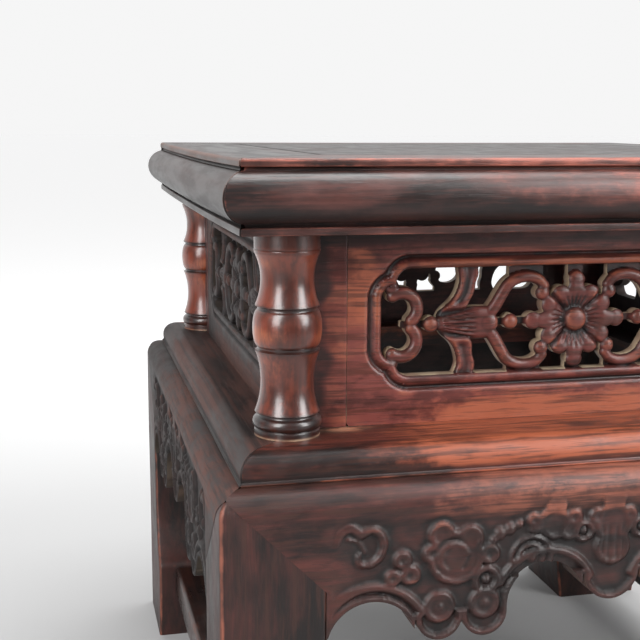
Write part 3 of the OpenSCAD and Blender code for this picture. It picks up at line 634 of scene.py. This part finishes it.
def apron_shell():
    """The sawn and carved apron. Its ground lies sunk below the shoulder, inside the legs and within a narrow raised
    border along the scalloped edge, and shows shallow chisel marks."""
    u = np.linspace(-face - 0.5, face + 0.5, 480)
    round_rows = shoulder - shoulder_r + shoulder_r * np.sin(np.linspace(0, np.pi / 2, 14)[1:])
    v = np.concatenate([np.linspace(lobe_z - 0.5, shoulder - shoulder_r, 86), round_rows, [shoulder + 0.5]])
    grid_u, grid_v = np.meshgrid(u, v)
    inside = apron_inside(grid_u, grid_v)
    below = smooth_step(shoulder - shoulder_r - grid_v, -1, 12)
    between = smooth_step(leg_in + 4 - np.abs(grid_u), 0, 26)
    from_edge = np.where(grid_v < shoulder - leg_w, inside, 9)
    border = smooth_step(from_edge, 1.8, 3.6)
    chisel = 0.12 * np.sin(grid_u / 1.9 + 2 * np.sin(grid_v / 5)) * np.sin(grid_v / 2.3 + grid_u / 7)
    sunk = (ground_d + chisel) * below * between * border
    relief = spread(apron_relief(grid_u, grid_v)) * smooth_step(leg_in - np.abs(grid_u), 0, 6)
    front = shoulder_face(grid_v) - np.clip(sunk - relief, 0, None)
    front -= 0.6 * smooth_step(-from_edge, -1.2, 0)
    masks = relief_masks(u, v, front - shoulder_face(grid_v), 0.9)
    redder = (0.12 + 0.58 * smooth_step(grid_u, -150, -20)) * smooth_step(grid_v, 196, 207)
    masks[..., 0] = np.clip(0.22 * masks[..., 0] + redder, 0, 1)
    masks[..., 1] = np.clip(0.9 * masks[..., 1] + (0.25 + 0.25 * (relief < 0.3)) * below * between, 0, 1)
    # The walls of the cut edge darken towards the back: painted shade deep in the cut.
    rim_masks = ((0.15, 0.2, 0.10), (0.0, 0.6, 0.0))
    return cut_board(u, v, inside, front, face - apron_t, masks, rim_masks, (leg_in - 2, face, face - apron_t - 1))


# The side copy is darker than the front one: painted shade on the left and right sides.
apron_finishes = both_ways(
    "apron lacquer", dict(redness=0.14, red=(0.080, 0.0225, 0.0175), bare=(0.24, 0.075, 0.045), gloss=0.35),
    dict(redness=0.05, red=(0.036, 0.0130, 0.0105), bare=(0.10, 0.038, 0.027), gloss=0.54),
    dark=(0.009, 0.0058, 0.0056))
add_four("carved_apron", "apron", SIDES, [apron_shell()], apron_finishes)

# Step mouldings: four mitred lengths of red rosewood that lie on the shoulders and carry the waist.
# Planed with an ovolo and a thin fillet, and left redder than the rest because the lacquer has rubbed off.
step_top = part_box("step_moulding_front")[1].z / mm
step_face, step_gap, step_stations = 190.5, 0.5, 130
ovolo_r, fillet_h, fillet_out = 10.5, 1.5, 0.8


def arc(x, z, r, start, stop, count):
    """Points along an arc, distance from the centre of the stand against height."""
    t = np.radians(np.linspace(start, stop, count))
    return np.stack([x + r * np.cos(t), z + r * np.sin(t)], -1)


def mitred_rail(profile, gap, stations=60, sag=0):
    """A front rail from its closed profile of distance against height. A point at distance w runs from x = -w to
    x = w, so the ends meet the neighbours in a mitre, and there the profile is drawn in by `gap` along its own
    normal, which leaves the fine joint line. The outer edge may sag by `sag` in the middle."""
    tangent = np.roll(profile, -1, 0) - np.roll(profile, 1, 0)
    normal = np.stack([tangent[:, 1], -tangent[:, 0]], -1)
    normal /= np.linalg.norm(normal, axis=1, keepdims=True) + 1e-9
    near_end = 1 - np.array([0.0, 0.0012, 0.004, 0.012])
    run = np.concatenate([-near_end, np.linspace(-0.985, 0.985, stations), near_end[::-1]])
    drawn = gap * np.clip(1 - (1 - np.abs(run)) / 0.004, 0, 1)**0.5
    w = profile[:, None, 0] - drawn * normal[:, None, 0]
    z = profile[:, None, 1] - drawn * normal[:, None, 1]
    outer = smooth_step(w, 150, profile[:, 0].max())
    points = np.stack([run * w, -w, z - sag * outer * (1 - run**2)], -1)
    points = hand_planed(points, 0.35)
    rows, cols = len(profile), len(run)
    masks = bend_masks(points, (True, False)).reshape(-1, 3)
    first = np.arange(rows)[::-1] * cols
    ends = [first[None, :], first[None, ::-1] + cols - 1]
    return points.reshape(-1, 3), [grid_quads(rows, cols, wrap_rows=True), *ends], masks


step_profile = np.concatenate([
    np.linspace((post_in, shoulder), (step_face, shoulder), 6),
    arc(step_face + fillet_out - 0.7, shoulder + 0.7, 0.7, -80, 80, 5),
    [(step_face + 0.1, shoulder + fillet_h + 0.2), (step_face - 0.3, shoulder + fillet_h + 0.6)],
    arc(step_face - ovolo_r, step_top - ovolo_r, ovolo_r, -6, 88, 22),
    np.linspace((step_face - ovolo_r - 1.5, step_top), (post_in, step_top), 30),
])
step = mitred_rail(step_profile, step_gap, step_stations)
(x, y, z), masks = step[0].T, step[2]
on_top = z > step_top - 1
rubbed = smooth_step(x, -165, -70) * smooth_step(z, shoulder + 2, shoulder + 5)
chipped = bell(x + 130, 11) * bell(y + waist + 4.5, 4.5) * on_top
in_line = bell(y + step_face - ovolo_r, 1.2) * on_top
left_end = smooth_step(-125 - x, 0, 45) * smooth_step(step_top - z, 0.5, 3)
masks[:, 0] = np.clip(masks[:, 0] + 0.70 * rubbed + 0.8 * chipped, 0, 1)
masks[:, 1] = np.clip(masks[:, 1] + 0.5 * in_line + 0.45 * left_end, 0, 1)
masks[:, 2] = 0.32 * chipped
# The side copy is darker than the front one: painted shade on the left and right sides.
step_finishes = both_ways(
    "moulding lacquer", dict(redness=0.16, red=(0.135, 0.030, 0.019), bare=(0.30, 0.076, 0.034), gloss=0.28),
    dict(redness=0.0, red=(0.040, 0.0140, 0.0110), bare=(0.075, 0.026, 0.018), gloss=0.46, squeeze=0.35),
    dark=(0.009, 0.0055, 0.0052))
add_four("ovolo_step", "step_moulding", SIDES, [step], step_finishes)

# Waist panels: four red rosewood boards pierced and carved with a rosette between fluted buds, wings, curls and
# hooks, in an opening with lobed corners and a roll moulding. Sawn out and carved from the face, then tongued into
# the posts, the step moulding and the top frame. The saw cuts stay rough and hold pale dust.
panel_half, panel_t, cell = post_in - 0.15, 9, 0.66
panel_mid, panel_half_h = (step_top + soffit) / 2, (soffit - step_top) / 2
open_w, open_top, open_low, lobe_r = 219, 30, 27, 8
roll_w, sunk_w, sunk_d = 4.5, 3.0, 2.2


def box_inside(a, v, half_w, half_h):
    """Distance inside a box about the middle, and less than zero outside it, round its corners too."""
    past_a, past_v = a - half_w, v - half_h
    return np.where((past_a < 0) & (past_v < 0), np.minimum(-past_a, -past_v),
                    -np.hypot(np.maximum(past_a, 0), np.maximum(past_v, 0)))


def opening_inside(u, w):
    """Distance inside the opening: a cross of two boxes with two round lobes in each corner, lower below the middle
    of the carving than it is high above it."""
    a, v = np.abs(u), np.abs(w - (open_top - open_low) / 2)
    half_w, half_h = open_w / 2, (open_top + open_low) / 2
    return np.maximum.reduce([
        box_inside(a, v, half_w, half_h - 2 * lobe_r), box_inside(a, v, half_w - 2 * lobe_r, half_h),
        disc(a, v, half_w - lobe_r, half_h - 2 * lobe_r, lobe_r),
        disc(a, v, half_w - 2 * lobe_r, half_h - lobe_r, lobe_r)])


def rosette(a, v):
    """Four petals of three lobes round a boss: the outline of each is a union of discs and a wedge, its face rises
    from the boss to a rolled rim, and seven fine cuts fan out from the boss over its inner half."""
    upright = v >= a * 0.92
    along, beside = np.where(upright, v, a), np.where(upright, a, v)
    length = np.where(upright, 26.6, 29)
    tip_w, boss_r, fan = 4.7, 6.2, 0.205
    tip = disc(beside, along, 0, length - tip_w, tip_w)
    side_lobe = disc(beside, along, 1.8 * tip_w, 0.50 * length, 1.15 * tip_w)
    wedge = np.minimum(length - tip_w - along, np.interp(along, [8, 24], [1.7 * tip_w, 0.62 * tip_w]) - beside)
    r = np.hypot(a, v)
    shape = np.maximum.reduce([tip, side_lobe, wedge, 14.5 - r])
    angle = np.arctan2(beside, along)
    cuts = bell((angle - fan * np.round(angle / fan)) * r, 0.6) * smooth_step(r, boss_r, 8) * smooth_step(17 - r, 0, 7)
    seam = bell((np.abs(angle) - np.pi / 4) * r, 1.2) * smooth_step(r, 5, 9)
    dish = 2.3 * smooth_step(r, 5, 17) - 0.8 * smooth_step(r, 20, 29)
    height = -4.6 + dish + crowned(shape, 1.7, 4.2) - 0.9 * cuts - 1.9 * seam
    return (shape, height), (boss_r - r, -2.2 + crowned(boss_r - r, 2.6, boss_r))


def eased(v, places, values, ease=1.4):
    """A line through given values, its corners rounded by an average over three places."""
    return sum(np.interp(v + shift, places, values) for shift in (-ease, 0, ease)) / 3


def carving(u, w):
    """The motifs of the opening as pairs of distance inside and height against the panel's face. They are mirrored
    about the middle both ways, but the wings below the bud are bent more than those above it."""
    a, v = np.abs(u), np.abs(w)

    def rounded(inside, low, edge, rise=3.0):
        """A motif with a round edge of that width, which rises from a low outline."""
        return inside, low + crowned(inside, rise, edge)

    hook = np.maximum(ring(a, v, 98, 8.5, 8.5, 3.5, 55, 230), disc(a, v, 103.9, open_top - 1.2 * lobe_r, 4.2))
    curl = stem(a, v, [(48.5, 5.5), (45.6, 9.5), (42.2, 15.4), (38.8, 20.2), (33.6, 23.2), (27.4, 23.9), (21.8, 22.2),
                       (18.4, 18.6)], 3.6, 3.0)
    parts = [*rosette(a, v), rounded(hook, -3.4, 3.5), rounded(curl, -3.6, 3.4),
             rounded(disc(a, v, 19.4, 15.0, 4.1), -3.2, 4.1)]
    rises = (0, 7, 9.5, 12.5, 16.5, 22, 26, 31)
    outer = np.where(w > 0, eased(v, rises, (80, 77, 74, 70.5, 68, 66.4, 66.6, 67.6)),
                     eased(v, rises, (80, 75, 71.5, 69.2, 67.6, 66.6, 68.2, 70)))
    inner = np.where(w > 0, eased(v, rises, (63, 62.4, 61.6, 60, 57.8, 57.2, 55.4, 56.6)),
                     eased(v, rises, (63, 61, 58.6, 58.2, 58.4, 56.4, 57.2, 58)))
    wing = np.minimum.reduce([outer - a, a - inner, open_top + 1.5 - v])
    scoop = bell((a - inner) / np.maximum(outer - inner, 1) - 0.52, 0.30)
    low_by_bud = 2.6 * smooth_step(9.5 - v, 0, 4)
    parts.append((wing, -4.2 + crowned(wing, 3.3, 2.2) - 1.9 * scoop * smooth_step(v, 8, 13) - low_by_bud))
    belly = eased(a, (46.5, 49, 53, 59, 66, 73, 79), (7.4, 8.6, 8.9, 8.9, 7.2, 5.2, 3.2))
    bud = np.minimum.reduce([belly - v, a - 46.5, 79 - a])
    flutes = 3.5
    pleat = bell((v / belly * flutes - np.round(v / belly * flutes)) * belly / flutes, 0.55)
    fluted = smooth_step(a, 55.5, 59) * smooth_step(77.5 - a, 0, 4)
    parts.append((bud, -4.0 + crowned(bud, 3.2, 5.0) - 0.85 * pleat * fluted))
    for at, r, low, rise in ((49.8, 5.2, -2.2, 2.4), (37.4, 4.2, -3.2, 3.0), (82.0, 4.3, -3.0, 3.0)):
        parts.append(rounded(disc(a, v, at, 0, r), low, r, rise))
    stalk = np.minimum.reduce([1.8 - v, a - 24, 98 - a])
    parts.append((stalk, -5.0 + 0 * a))
    for tie in (np.minimum(4.3 - a, v - 20), np.minimum.reduce([a - 18.8, 38.2 - a, v - 22])):
        parts.append((np.minimum(tie, open_top + 1.5 - v), -4.6 + 0 * a))
    return parts


def panel_face(u, w):
    """Distance inside the pierced panel and height of its face. Outside the opening stands a half-round roll, then a
    sunk line, then the plain field; inside it the highest motif shows, and elsewhere the board is cut through."""
    outside = -opening_inside(u, w)
    across = np.clip(outside / roll_w, 0, 1) * 2 - 1
    roll = -1.6 + 1.9 * np.sqrt(1 - np.minimum(across**2, 1))
    line = -sunk_d * np.sin(np.pi * np.clip((outside - roll_w) / sunk_w, 0, 1))**0.7
    frame_height = np.where(outside < roll_w, roll, line) - 0.5 * bell(outside - roll_w - sunk_w, 1)
    plate = np.minimum.reduce([outside, panel_half - np.abs(u), panel_half_h - np.abs(w)])
    distance, height = (np.stack(values) for values in zip(*carving(u, w)))
    nearest = np.take_along_axis(height, distance.argmax(0)[None], 0)[0]
    reach = distance.max(0)
    motif = np.where(reach > 0, np.where(distance > 0, height, -99).max(0), nearest)
    inside = np.maximum(plate, np.minimum(reach, 2.5 - outside))
    return inside, np.where((outside > 0) | (plate > reach), frame_height, motif)


def panel_shell(face_at):
    """The carved panel: a fine grid over the opening and its moulding, and a coarse one over the plain margins. The red
    is bare along the foot, at the upper left, on the roll and on high carving. The carving is darker where it lies
    deep, and a band under the top is darkened as painted shade of the top frame."""
    moulded = roll_w + sunk_w + 1.5

    def places(fine_to, edge):
        """Grid places on both sides of the middle, fine up to one distance and coarse from there to the edge."""
        fine = np.arange(-fine_to, fine_to + cell / 2, cell)
        margin = np.linspace(fine_to + cell, edge + 0.4, 7)
        return np.concatenate([-margin[::-1], fine, margin])

    u = places(open_w / 2 + moulded, panel_half)
    w = places(open_top + moulded, panel_half_h)
    grid_u, grid_w = np.meshgrid(u, w)
    inside, height = panel_face(grid_u, grid_w)
    front = face_at + height - 0.12 * (1 + np.sin(grid_u / 23 + grid_w / 31))
    masks = relief_masks(u, w, front, 1.1)
    hole = opening_inside(grid_u, grid_w)
    deep = smooth_step(-height, 2.4, 5.0) * (hole > 0)
    low_band = smooth_step(-grid_w, 33, 46) * smooth_step(grid_u, -128, -50)
    painted_shade_under_top = smooth_step(grid_w, 40.5, 43.5)
    on_roll = (hole < 0) & (hole > -roll_w)
    field = 0.26 * (hole < -8) + 0.35 * on_roll * smooth_step(grid_w, -12, 16)
    field = field + 0.55 * smooth_step(-grid_u, 106, 118) * smooth_step(grid_w, -8, 12)
    carved = hole > -1
    worn = np.where(carved, 0.62, 0.45) * masks[..., 0] + 0.62 * low_band + field * (1 - painted_shade_under_top)
    masks[..., 0] = np.clip(worn, 0, 1)
    # The hollow mask here gets painted shade in the band under the top frame, and the deep carving is darkened.
    dirt = masks[..., 1] + 0.75 * deep + 0.85 * painted_shade_under_top + 0.50 * carved * (1 - masks[..., 0])
    masks[..., 1] = np.clip(dirt, 0, 1)
    # The walls keep pale dust at the front edge and darken towards the back: painted shade deep in the cuts.
    rim_masks = ((0.0, 0.0, 1.0), (0.0, 0.7, 0.35))
    return cut_board(u, w + panel_mid, inside, front, face_at - panel_t, masks, rim_masks)


# The side copy is darker than the front one, its dust too: painted shade on the left and right sides.
panel_finishes = both_ways(
    "carved panel lacquer",
    dict(redness=0.68, red=waist_red, bare=(0.29, 0.078, 0.038), gloss=0.28, dusty=(0.46, 0.365, 0.245)),
    dict(redness=0.05, red=(0.034, 0.0125, 0.0105), bare=(0.075, 0.028, 0.020), gloss=0.46, dusty=(0.035, 0.026, 0.02)),
    dark=waist_dark, shift=waist_shift)
add_four("pierced_panel", "waist_panel", SIDES, [panel_shell(waist), panel_shell(side_waist)],
         panel_finishes)

# Corner columns: four turned colonettes of red rosewood, shaped like bamboo with a round node between two waisted
# lengths. Turned on a lathe, notched over the corner of the post and pinned between step moulding and top frame.
column_x, column_y = side_waist - 2, waist + 5.5
column_r, thin_r, end_r, line_r = 17.8, 13.7, 16.9, 15.3
neck_h, ring_h, node_h, foot_h, base_h, line_h, low_h = 9, 2, 18.5, 6.5, 3.5, 1.6, 32.5
high_h = soffit - step_top - neck_h - ring_h - node_h - foot_h - base_h - 3 * line_h - low_h


def column_radius(z):
    """Radius of the column against height over the step: flat base, foot round, and two waisted lengths with the
    round node between them, a thin ring and a plain neck, parted by sunk lines."""
    def bulge(start, height, middle, end):
        """Radius of a round member, a half ellipse."""
        t = (z - start) / height * 2 - 1
        return np.where(np.abs(t) <= 1, end + (middle - end) * np.sqrt(np.maximum(1 - t**2, 0)), 0)

    def waisted(start, height):
        """Radius of a length that is thin in the middle."""
        t = (z - start) / height * 2 - 1
        return np.where(np.abs(t) <= 1, thin_r + (end_r - thin_r) * (0.9 * t**2 + 0.1 * t**4), 0)

    foot = base_h
    low = foot + foot_h + line_h
    node = low + low_h + line_h
    high = node + node_h + line_h
    thin_ring = high + high_h
    plain = np.where((z < base_h) | (z > thin_ring + ring_h), end_r, 0)
    lines = np.where(((z > low - line_h) & (z < low)) | ((z > node - line_h) & (z < node))
                     | ((z > high - line_h) & (z < high)), line_r, 0)
    members = [bulge(foot, foot_h, column_r, line_r), waisted(low, low_h), bulge(node, node_h, column_r, line_r),
               waisted(high, high_h), bulge(thin_ring, ring_h, end_r + 0.2, line_r + 0.6), plain, lines]
    return np.maximum.reduce(members)


def column_shell(at_x, at_y, out_x, out_y):
    """The turned column, its radius a little uneven round the axis. Where it would stand inside the post's corner,
    its surface is moved out to the nearer face of the post, which makes the notch. It is rubbed round the node and
    below the neck, darkened at the neck by painted shade under the top frame and at the foot, and marked by three
    rings of stain and a patch of soot."""
    height, ease = soffit - step_top, 0.2
    z = np.linspace(0, height, 250)[:, None]
    angle = np.linspace(0, 2 * np.pi, 73)[None, :-1]
    radius = (column_radius(z - ease) + column_radius(z) + column_radius(z + ease)) / 3
    radius = radius * (1 - 0.006 * (1 + np.sin(angle * 2 + z / 40)) - 0.004 * (1 + np.sin(3 * angle - z / 17)))
    x, y = at_x + radius * np.cos(angle), at_y + radius * np.sin(angle)
    in_x, in_y = out_x - x, out_y - y
    notched = (in_x > 0) & (in_y > 0)
    x, y = np.where(notched & (in_x <= in_y), out_x, x), np.where(notched & (in_y < in_x), out_y, y)
    points = np.stack([x, y, z + step_top + 0 * x], -1)
    masks = bend_masks(points, (False, True), 0.5)
    lines = np.abs(np.gradient(np.gradient(radius[:, 0], z[:, 0]), z[:, 0]))[:, None] + 0 * angle
    lines = spread(np.clip(lines, 0, 1), 2)
    node_z = base_h + foot_h + low_h + 2 * line_h
    foot_wear = smooth_step(1.2 - z, 0, 0.8)
    neck_z = height - neck_h
    rubbed = bell(z - node_z - 0.35 * node_h, 6) + 0.8 * bell(z - neck_z + 7, 5) + 0.7 * bell(z - node_z + 9, 7)
    rubbed = rubbed * (0.7 + 0.3 * np.cos(2 * angle - 0.6))
    masks[..., 0] = np.clip(0.4 * masks[..., 0] + 0.4 * foot_wear + 0.9 * rubbed, 0, 1)
    masks[..., 2] = 0.5 * foot_wear + 0 * angle
    # The neck is darkened as painted shade under the top frame; the foot is darkened too.
    stain_and_painted_shade = smooth_step(z, neck_z - 1, neck_z + 2) + smooth_step(base_h + foot_h + 2 - z, 0, 2)
    rings = ((neck_z - 14, 6, 0.34), (node_z + 0.85 * node_h, 3, 0.25), (node_z - 0.75 * low_h, 6, 0.20))
    for at, wide, share in rings:
        stain_and_painted_shade = stain_and_painted_shade + share * bell(z - at, wide) * (0.75 + 0.25 * np.cos(3 * angle + 0.2 * at))
    soot = bell(z - neck_z + 14, 9) * bell(angle - 1.37, 0.6)
    stain_and_painted_shade = stain_and_painted_shade + 0.6 * soot
    masks[..., 0] *= 1 - 0.8 * soot
    masks[..., 1] = np.clip(0.6 * masks[..., 1] + 0.9 * lines + 0.85 * stain_and_painted_shade * (1 - foot_wear), 0, 1)
    return capped_tube(points, masks)


columns = [column_shell(column_x, column_y, side_waist, waist), column_shell(column_y, column_x, waist, side_waist)]
column_finish = lacquered("column lacquer", "z", redness=0.54, dark=(0.011, 0.003, 0.0025), red=(0.200, 0.036, 0.0150),
                          bare=(0.37, 0.092, 0.030), figure=0.4, gloss=0.27, coat=0.9)
add_four("turned_column", "waist_column", CORNERS, columns, [column_finish])

# Top frame: four mitred rails of dark rosewood with a lip, a bold half-round and a thin fillet along the edge.
# Planed to shape, grooved for the panel, mitred with hidden tenons and set down on the posts and columns.
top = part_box("top_rail_front")[1].z / mm
torus_face = -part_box("top_rail_front")[0].y / mm
lip, rail_in, ledge_in, board_z = 190, 140, 126, top - 10
lip_h, lip_r, groove_d, torus_h, top_fillet_h = 4, 1.8, 2.5, 24, 3.8
rail_gap, rail_sag, left_sag = 0.7, 0.2, 1.3
torus_out = torus_face - lip
torus_r = ((torus_h / 2)**2 + torus_out**2) / (2 * torus_out)
torus_z = soffit + top_fillet_h + (top - soffit - top_fillet_h - lip_h) / 2
torus_half = np.degrees(np.arcsin(torus_h / 2 / torus_r))
groove_w = lip - groove_d
rail_profile = np.concatenate([
    np.linspace((ledge_in, soffit), (lip - 0.8, soffit), 12),
    arc(lip - 0.7, soffit + 0.7, 0.7, -80, 0, 4),
    arc(lip - 0.7, soffit + top_fillet_h - 0.7, 0.7, 0, 80, 4),
    [(groove_w + 0.5, soffit + top_fillet_h), (groove_w, soffit + top_fillet_h + 0.15)],
    arc(torus_face - torus_r, torus_z, torus_r, -torus_half - 7, torus_half + 7, 40),
    [(groove_w, top - lip_h - 0.15), (groove_w + 0.5, top - lip_h)],
    arc(lip - 0.6, top - lip_h + 0.6, 0.6, -80, 0, 4),
    arc(lip - lip_r, top - lip_r, lip_r, 0, 90, 6),
    np.linspace((lip - lip_r - 1.5, top), (rail_in + 2.0, top), 10),
    arc(rail_in + 1.4, top - 1.4, 1.4, 90, 180, 5),
    np.linspace((rail_in, top - 2.2), (rail_in, board_z), 4),
    [(ledge_in, board_z)],
])
# The side copy is darker than the front one: painted shade on the left and right sides.
rail_finishes = both_ways(
    "top frame lacquer", dict(redness=0.10, red=(0.095, 0.033, 0.027), bare=(0.30, 0.086, 0.058)),
    dict(redness=0.05, red=(0.040, 0.0165, 0.0135), bare=(0.13, 0.070, 0.055), figure=0.15, squeeze=0.25),
    dark=(0.012, 0.0088, 0.0085), gloss=0.29)
for quarter, side in enumerate(SIDES):
    rail = mitred_rail(rail_profile, rail_gap, sag=left_sag if side == "left" else rail_sag)
    (x, y, z), masks = rail[0].T, rail[2]
    on_torus = (z > soffit + top_fillet_h) & (z < top - lip_h)
    on_lip = (z > top - lip_h - 1.5) & (y < 3 - lip)
    in_joint = (z > board_z) & (y > -rail_in - 1.5)
    at_mitre = smooth_step(np.abs(x) + y, -2.2, -0.6)
    rubbed = 0.36 * smooth_step(x, -140, 60) if side == "front" else 0
    masks[:, 0] += on_torus * (0.06 + rubbed + 0.2 * at_mitre) + 0.30 * on_lip
    masks[:, 1] *= 1 - 0.75 * on_lip
    # The lower half of the half-round is darkened: painted shade where it turns away from the light.
    masks[:, 1] += 0.8 * on_torus * smooth_step(torus_z - 1 - z, 0, 7)
    masks[:, 1] = np.where(in_joint, 1, np.clip(masks[:, 1], 0, 1))
    add_piece(f"moulded_rail_{side}", f"top_rail_{side}", [rail], quarter, rail_finishes[quarter % 2])

# Top panel: one dark rosewood board that floats in the grooves of the frame, flush with the rails.
# Planed flat, with a hair of room all round, so a thin dark joint shows. Two battens below keep it flat.
board_half, board_edge, board_steps, board_insets = rail_in - 1.0, 0.5, 12, (0.6, 3.0)
top_board = rounded_block((-board_half, -board_half, board_z), (board_half, board_half, top), board_edge, board_steps,
                          board_insets)
board_masks = np.zeros(top_board.shape)
board_masks[1:-1, :, 1] = 1
board_finish = lacquered("top panel lacquer", "y", redness=-0.1, dark=(0.010, 0.007, 0.0068), red=(0.036, 0.016, 0.013),
                         bare=(0.16, 0.066, 0.044), gloss=0.32)
add_piece("top_board", "top_panel", [capped_tube(top_board, board_masks)], 0, board_finish)
batten_finish = lacquered("batten wood", "y", redness=0.3, dark=(0.024, 0.011, 0.0075), red=(0.12, 0.042, 0.023),
                          bare=(0.21, 0.09, 0.05))
for side in ("left", "right"):
    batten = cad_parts[f"batten_{side}"].data
    batten.materials.clear()
    batten.materials.append(batten_finish)

# Studio: a paper floor that runs out of sight, pale and glowing behind the stand and dim in front of it, so that the
# dark faces mirror little light. The surround is a light wall behind and a dark room elsewhere. Three soft lamps
# hang over the stand and to each side in front of it.
floor_half = 30.0
floor_mesh = bpy.data.meshes.new("studio_floor")
floor_corners = [(x * floor_half, y * floor_half, 0) for x, y in ((-1, -1), (1, -1), (1, 1), (-1, 1))]
floor_mesh.from_pydata(floor_corners, [], [(0, 1, 2, 3)])
floor = bpy.data.objects.new("studio_floor", floor_mesh)
bpy.context.scene.collection.objects.link(floor)
paper = bpy.data.materials.new("studio paper")
paper.use_nodes = True
sheet = paper.node_tree
on_floor = add_node(sheet, "ShaderNodeTexCoord").outputs["Object"]
depth = add_node(sheet, "ShaderNodeSeparateXYZ", {0: on_floor}).outputs["Y"]
dim_paper, pale_paper, full_glow = (0.24, 0.24, 0.24, 1), (0.50, 0.50, 0.50, 1), 0.688
glow = sums(sheet, "MULTIPLY", ranged(sheet, depth, 0.0, 1.4), full_glow)
paper_inputs = sheet.nodes["Principled BSDF"].inputs
sheet.links.new(mixed(sheet, ranged(sheet, depth, -0.9, 0.3), dim_paper, pale_paper), paper_inputs["Base Color"])
sheet.links.new(glow, paper_inputs["Emission Strength"])
paper_inputs["Emission Color"].default_value = (1, 1, 1, 1)
paper_inputs["Roughness"].default_value = 0.9
floor_mesh.materials.append(paper)

world = bpy.data.worlds.new("studio surround")
bpy.context.scene.world = world
world.use_nodes = True
sky = world.node_tree
way = add_node(sky, "ShaderNodeTexCoord").outputs["Generated"]
behind = add_node(sky, "ShaderNodeVectorMath", {0: way, 1: (-0.1, 1.0, 0.15)}, operation="DOT_PRODUCT").outputs["Value"]
light_wall, dark_room = (0.92, 0.92, 0.92, 1), (0.20, 0.20, 0.205, 1)
surround = mixed(sky, ranged(sky, behind, 0.30, 0.80), dark_room, light_wall)
sky.links.new(surround, sky.nodes["Background"].inputs["Color"])


def add_lamp(name, place, aim, size, power):
    """A soft lamp of that width and height at a place, pointed at another."""
    light = bpy.data.lights.new(name, "AREA")
    light.shape = "RECTANGLE"
    light.size, light.size_y = size
    light.energy = power
    lamp = bpy.data.objects.new(name, light)
    ahead = np.array(aim) - np.array(place)
    side = np.cross(ahead, (0, 0, 1))
    side /= np.linalg.norm(side)
    back = -ahead / np.linalg.norm(ahead)
    lamp.matrix_world = Matrix(np.column_stack([side, np.cross(back, side), back])).to_4x4()
    lamp.location = place
    bpy.context.scene.collection.objects.link(lamp)


waist_middle, strip = (0, 0, 0.28), (0.60, 1.4)
add_lamp("lamp_left", (-1.09, -1.01, 0.95), waist_middle, strip, 26)
add_lamp("lamp_right", (0.84, -0.93, 0.95), waist_middle, strip, 26)
add_lamp("lamp_above", (0.15, 0.05, 1.7), (0, 0, 0.3), (1.0, 1.0), 24)

# Camera: low and to the left of the front, close enough that only the near corner and the waist fill the view.
# Its place and turn were found from the stand's own edges in the photograph.
camera_at = (-0.2738, -0.7089, 0.3967)
yaw, pitch, roll = np.radians((13.24, 9.87, 0.29))
ahead = np.array([np.sin(yaw) * np.cos(pitch), np.cos(yaw) * np.cos(pitch), -np.sin(pitch)])
right = np.array([np.cos(yaw), -np.sin(yaw), 0.0])
above = np.cross(right, ahead)
rolled_right = np.cos(roll) * right + np.sin(roll) * above
rolled_up = np.cos(roll) * above - np.sin(roll) * right
camera_data = bpy.data.cameras.new("camera")
camera_data.sensor_width = 36
camera_data.lens = 64.28
camera = bpy.data.objects.new("camera", camera_data)
camera.matrix_world = Matrix(np.column_stack([rolled_right, rolled_up, -ahead])).to_4x4()
camera.location = camera_at
bpy.context.scene.collection.objects.link(camera)
bpy.context.scene.camera = camera
bpy.context.scene.view_settings.view_transform = "Standard"
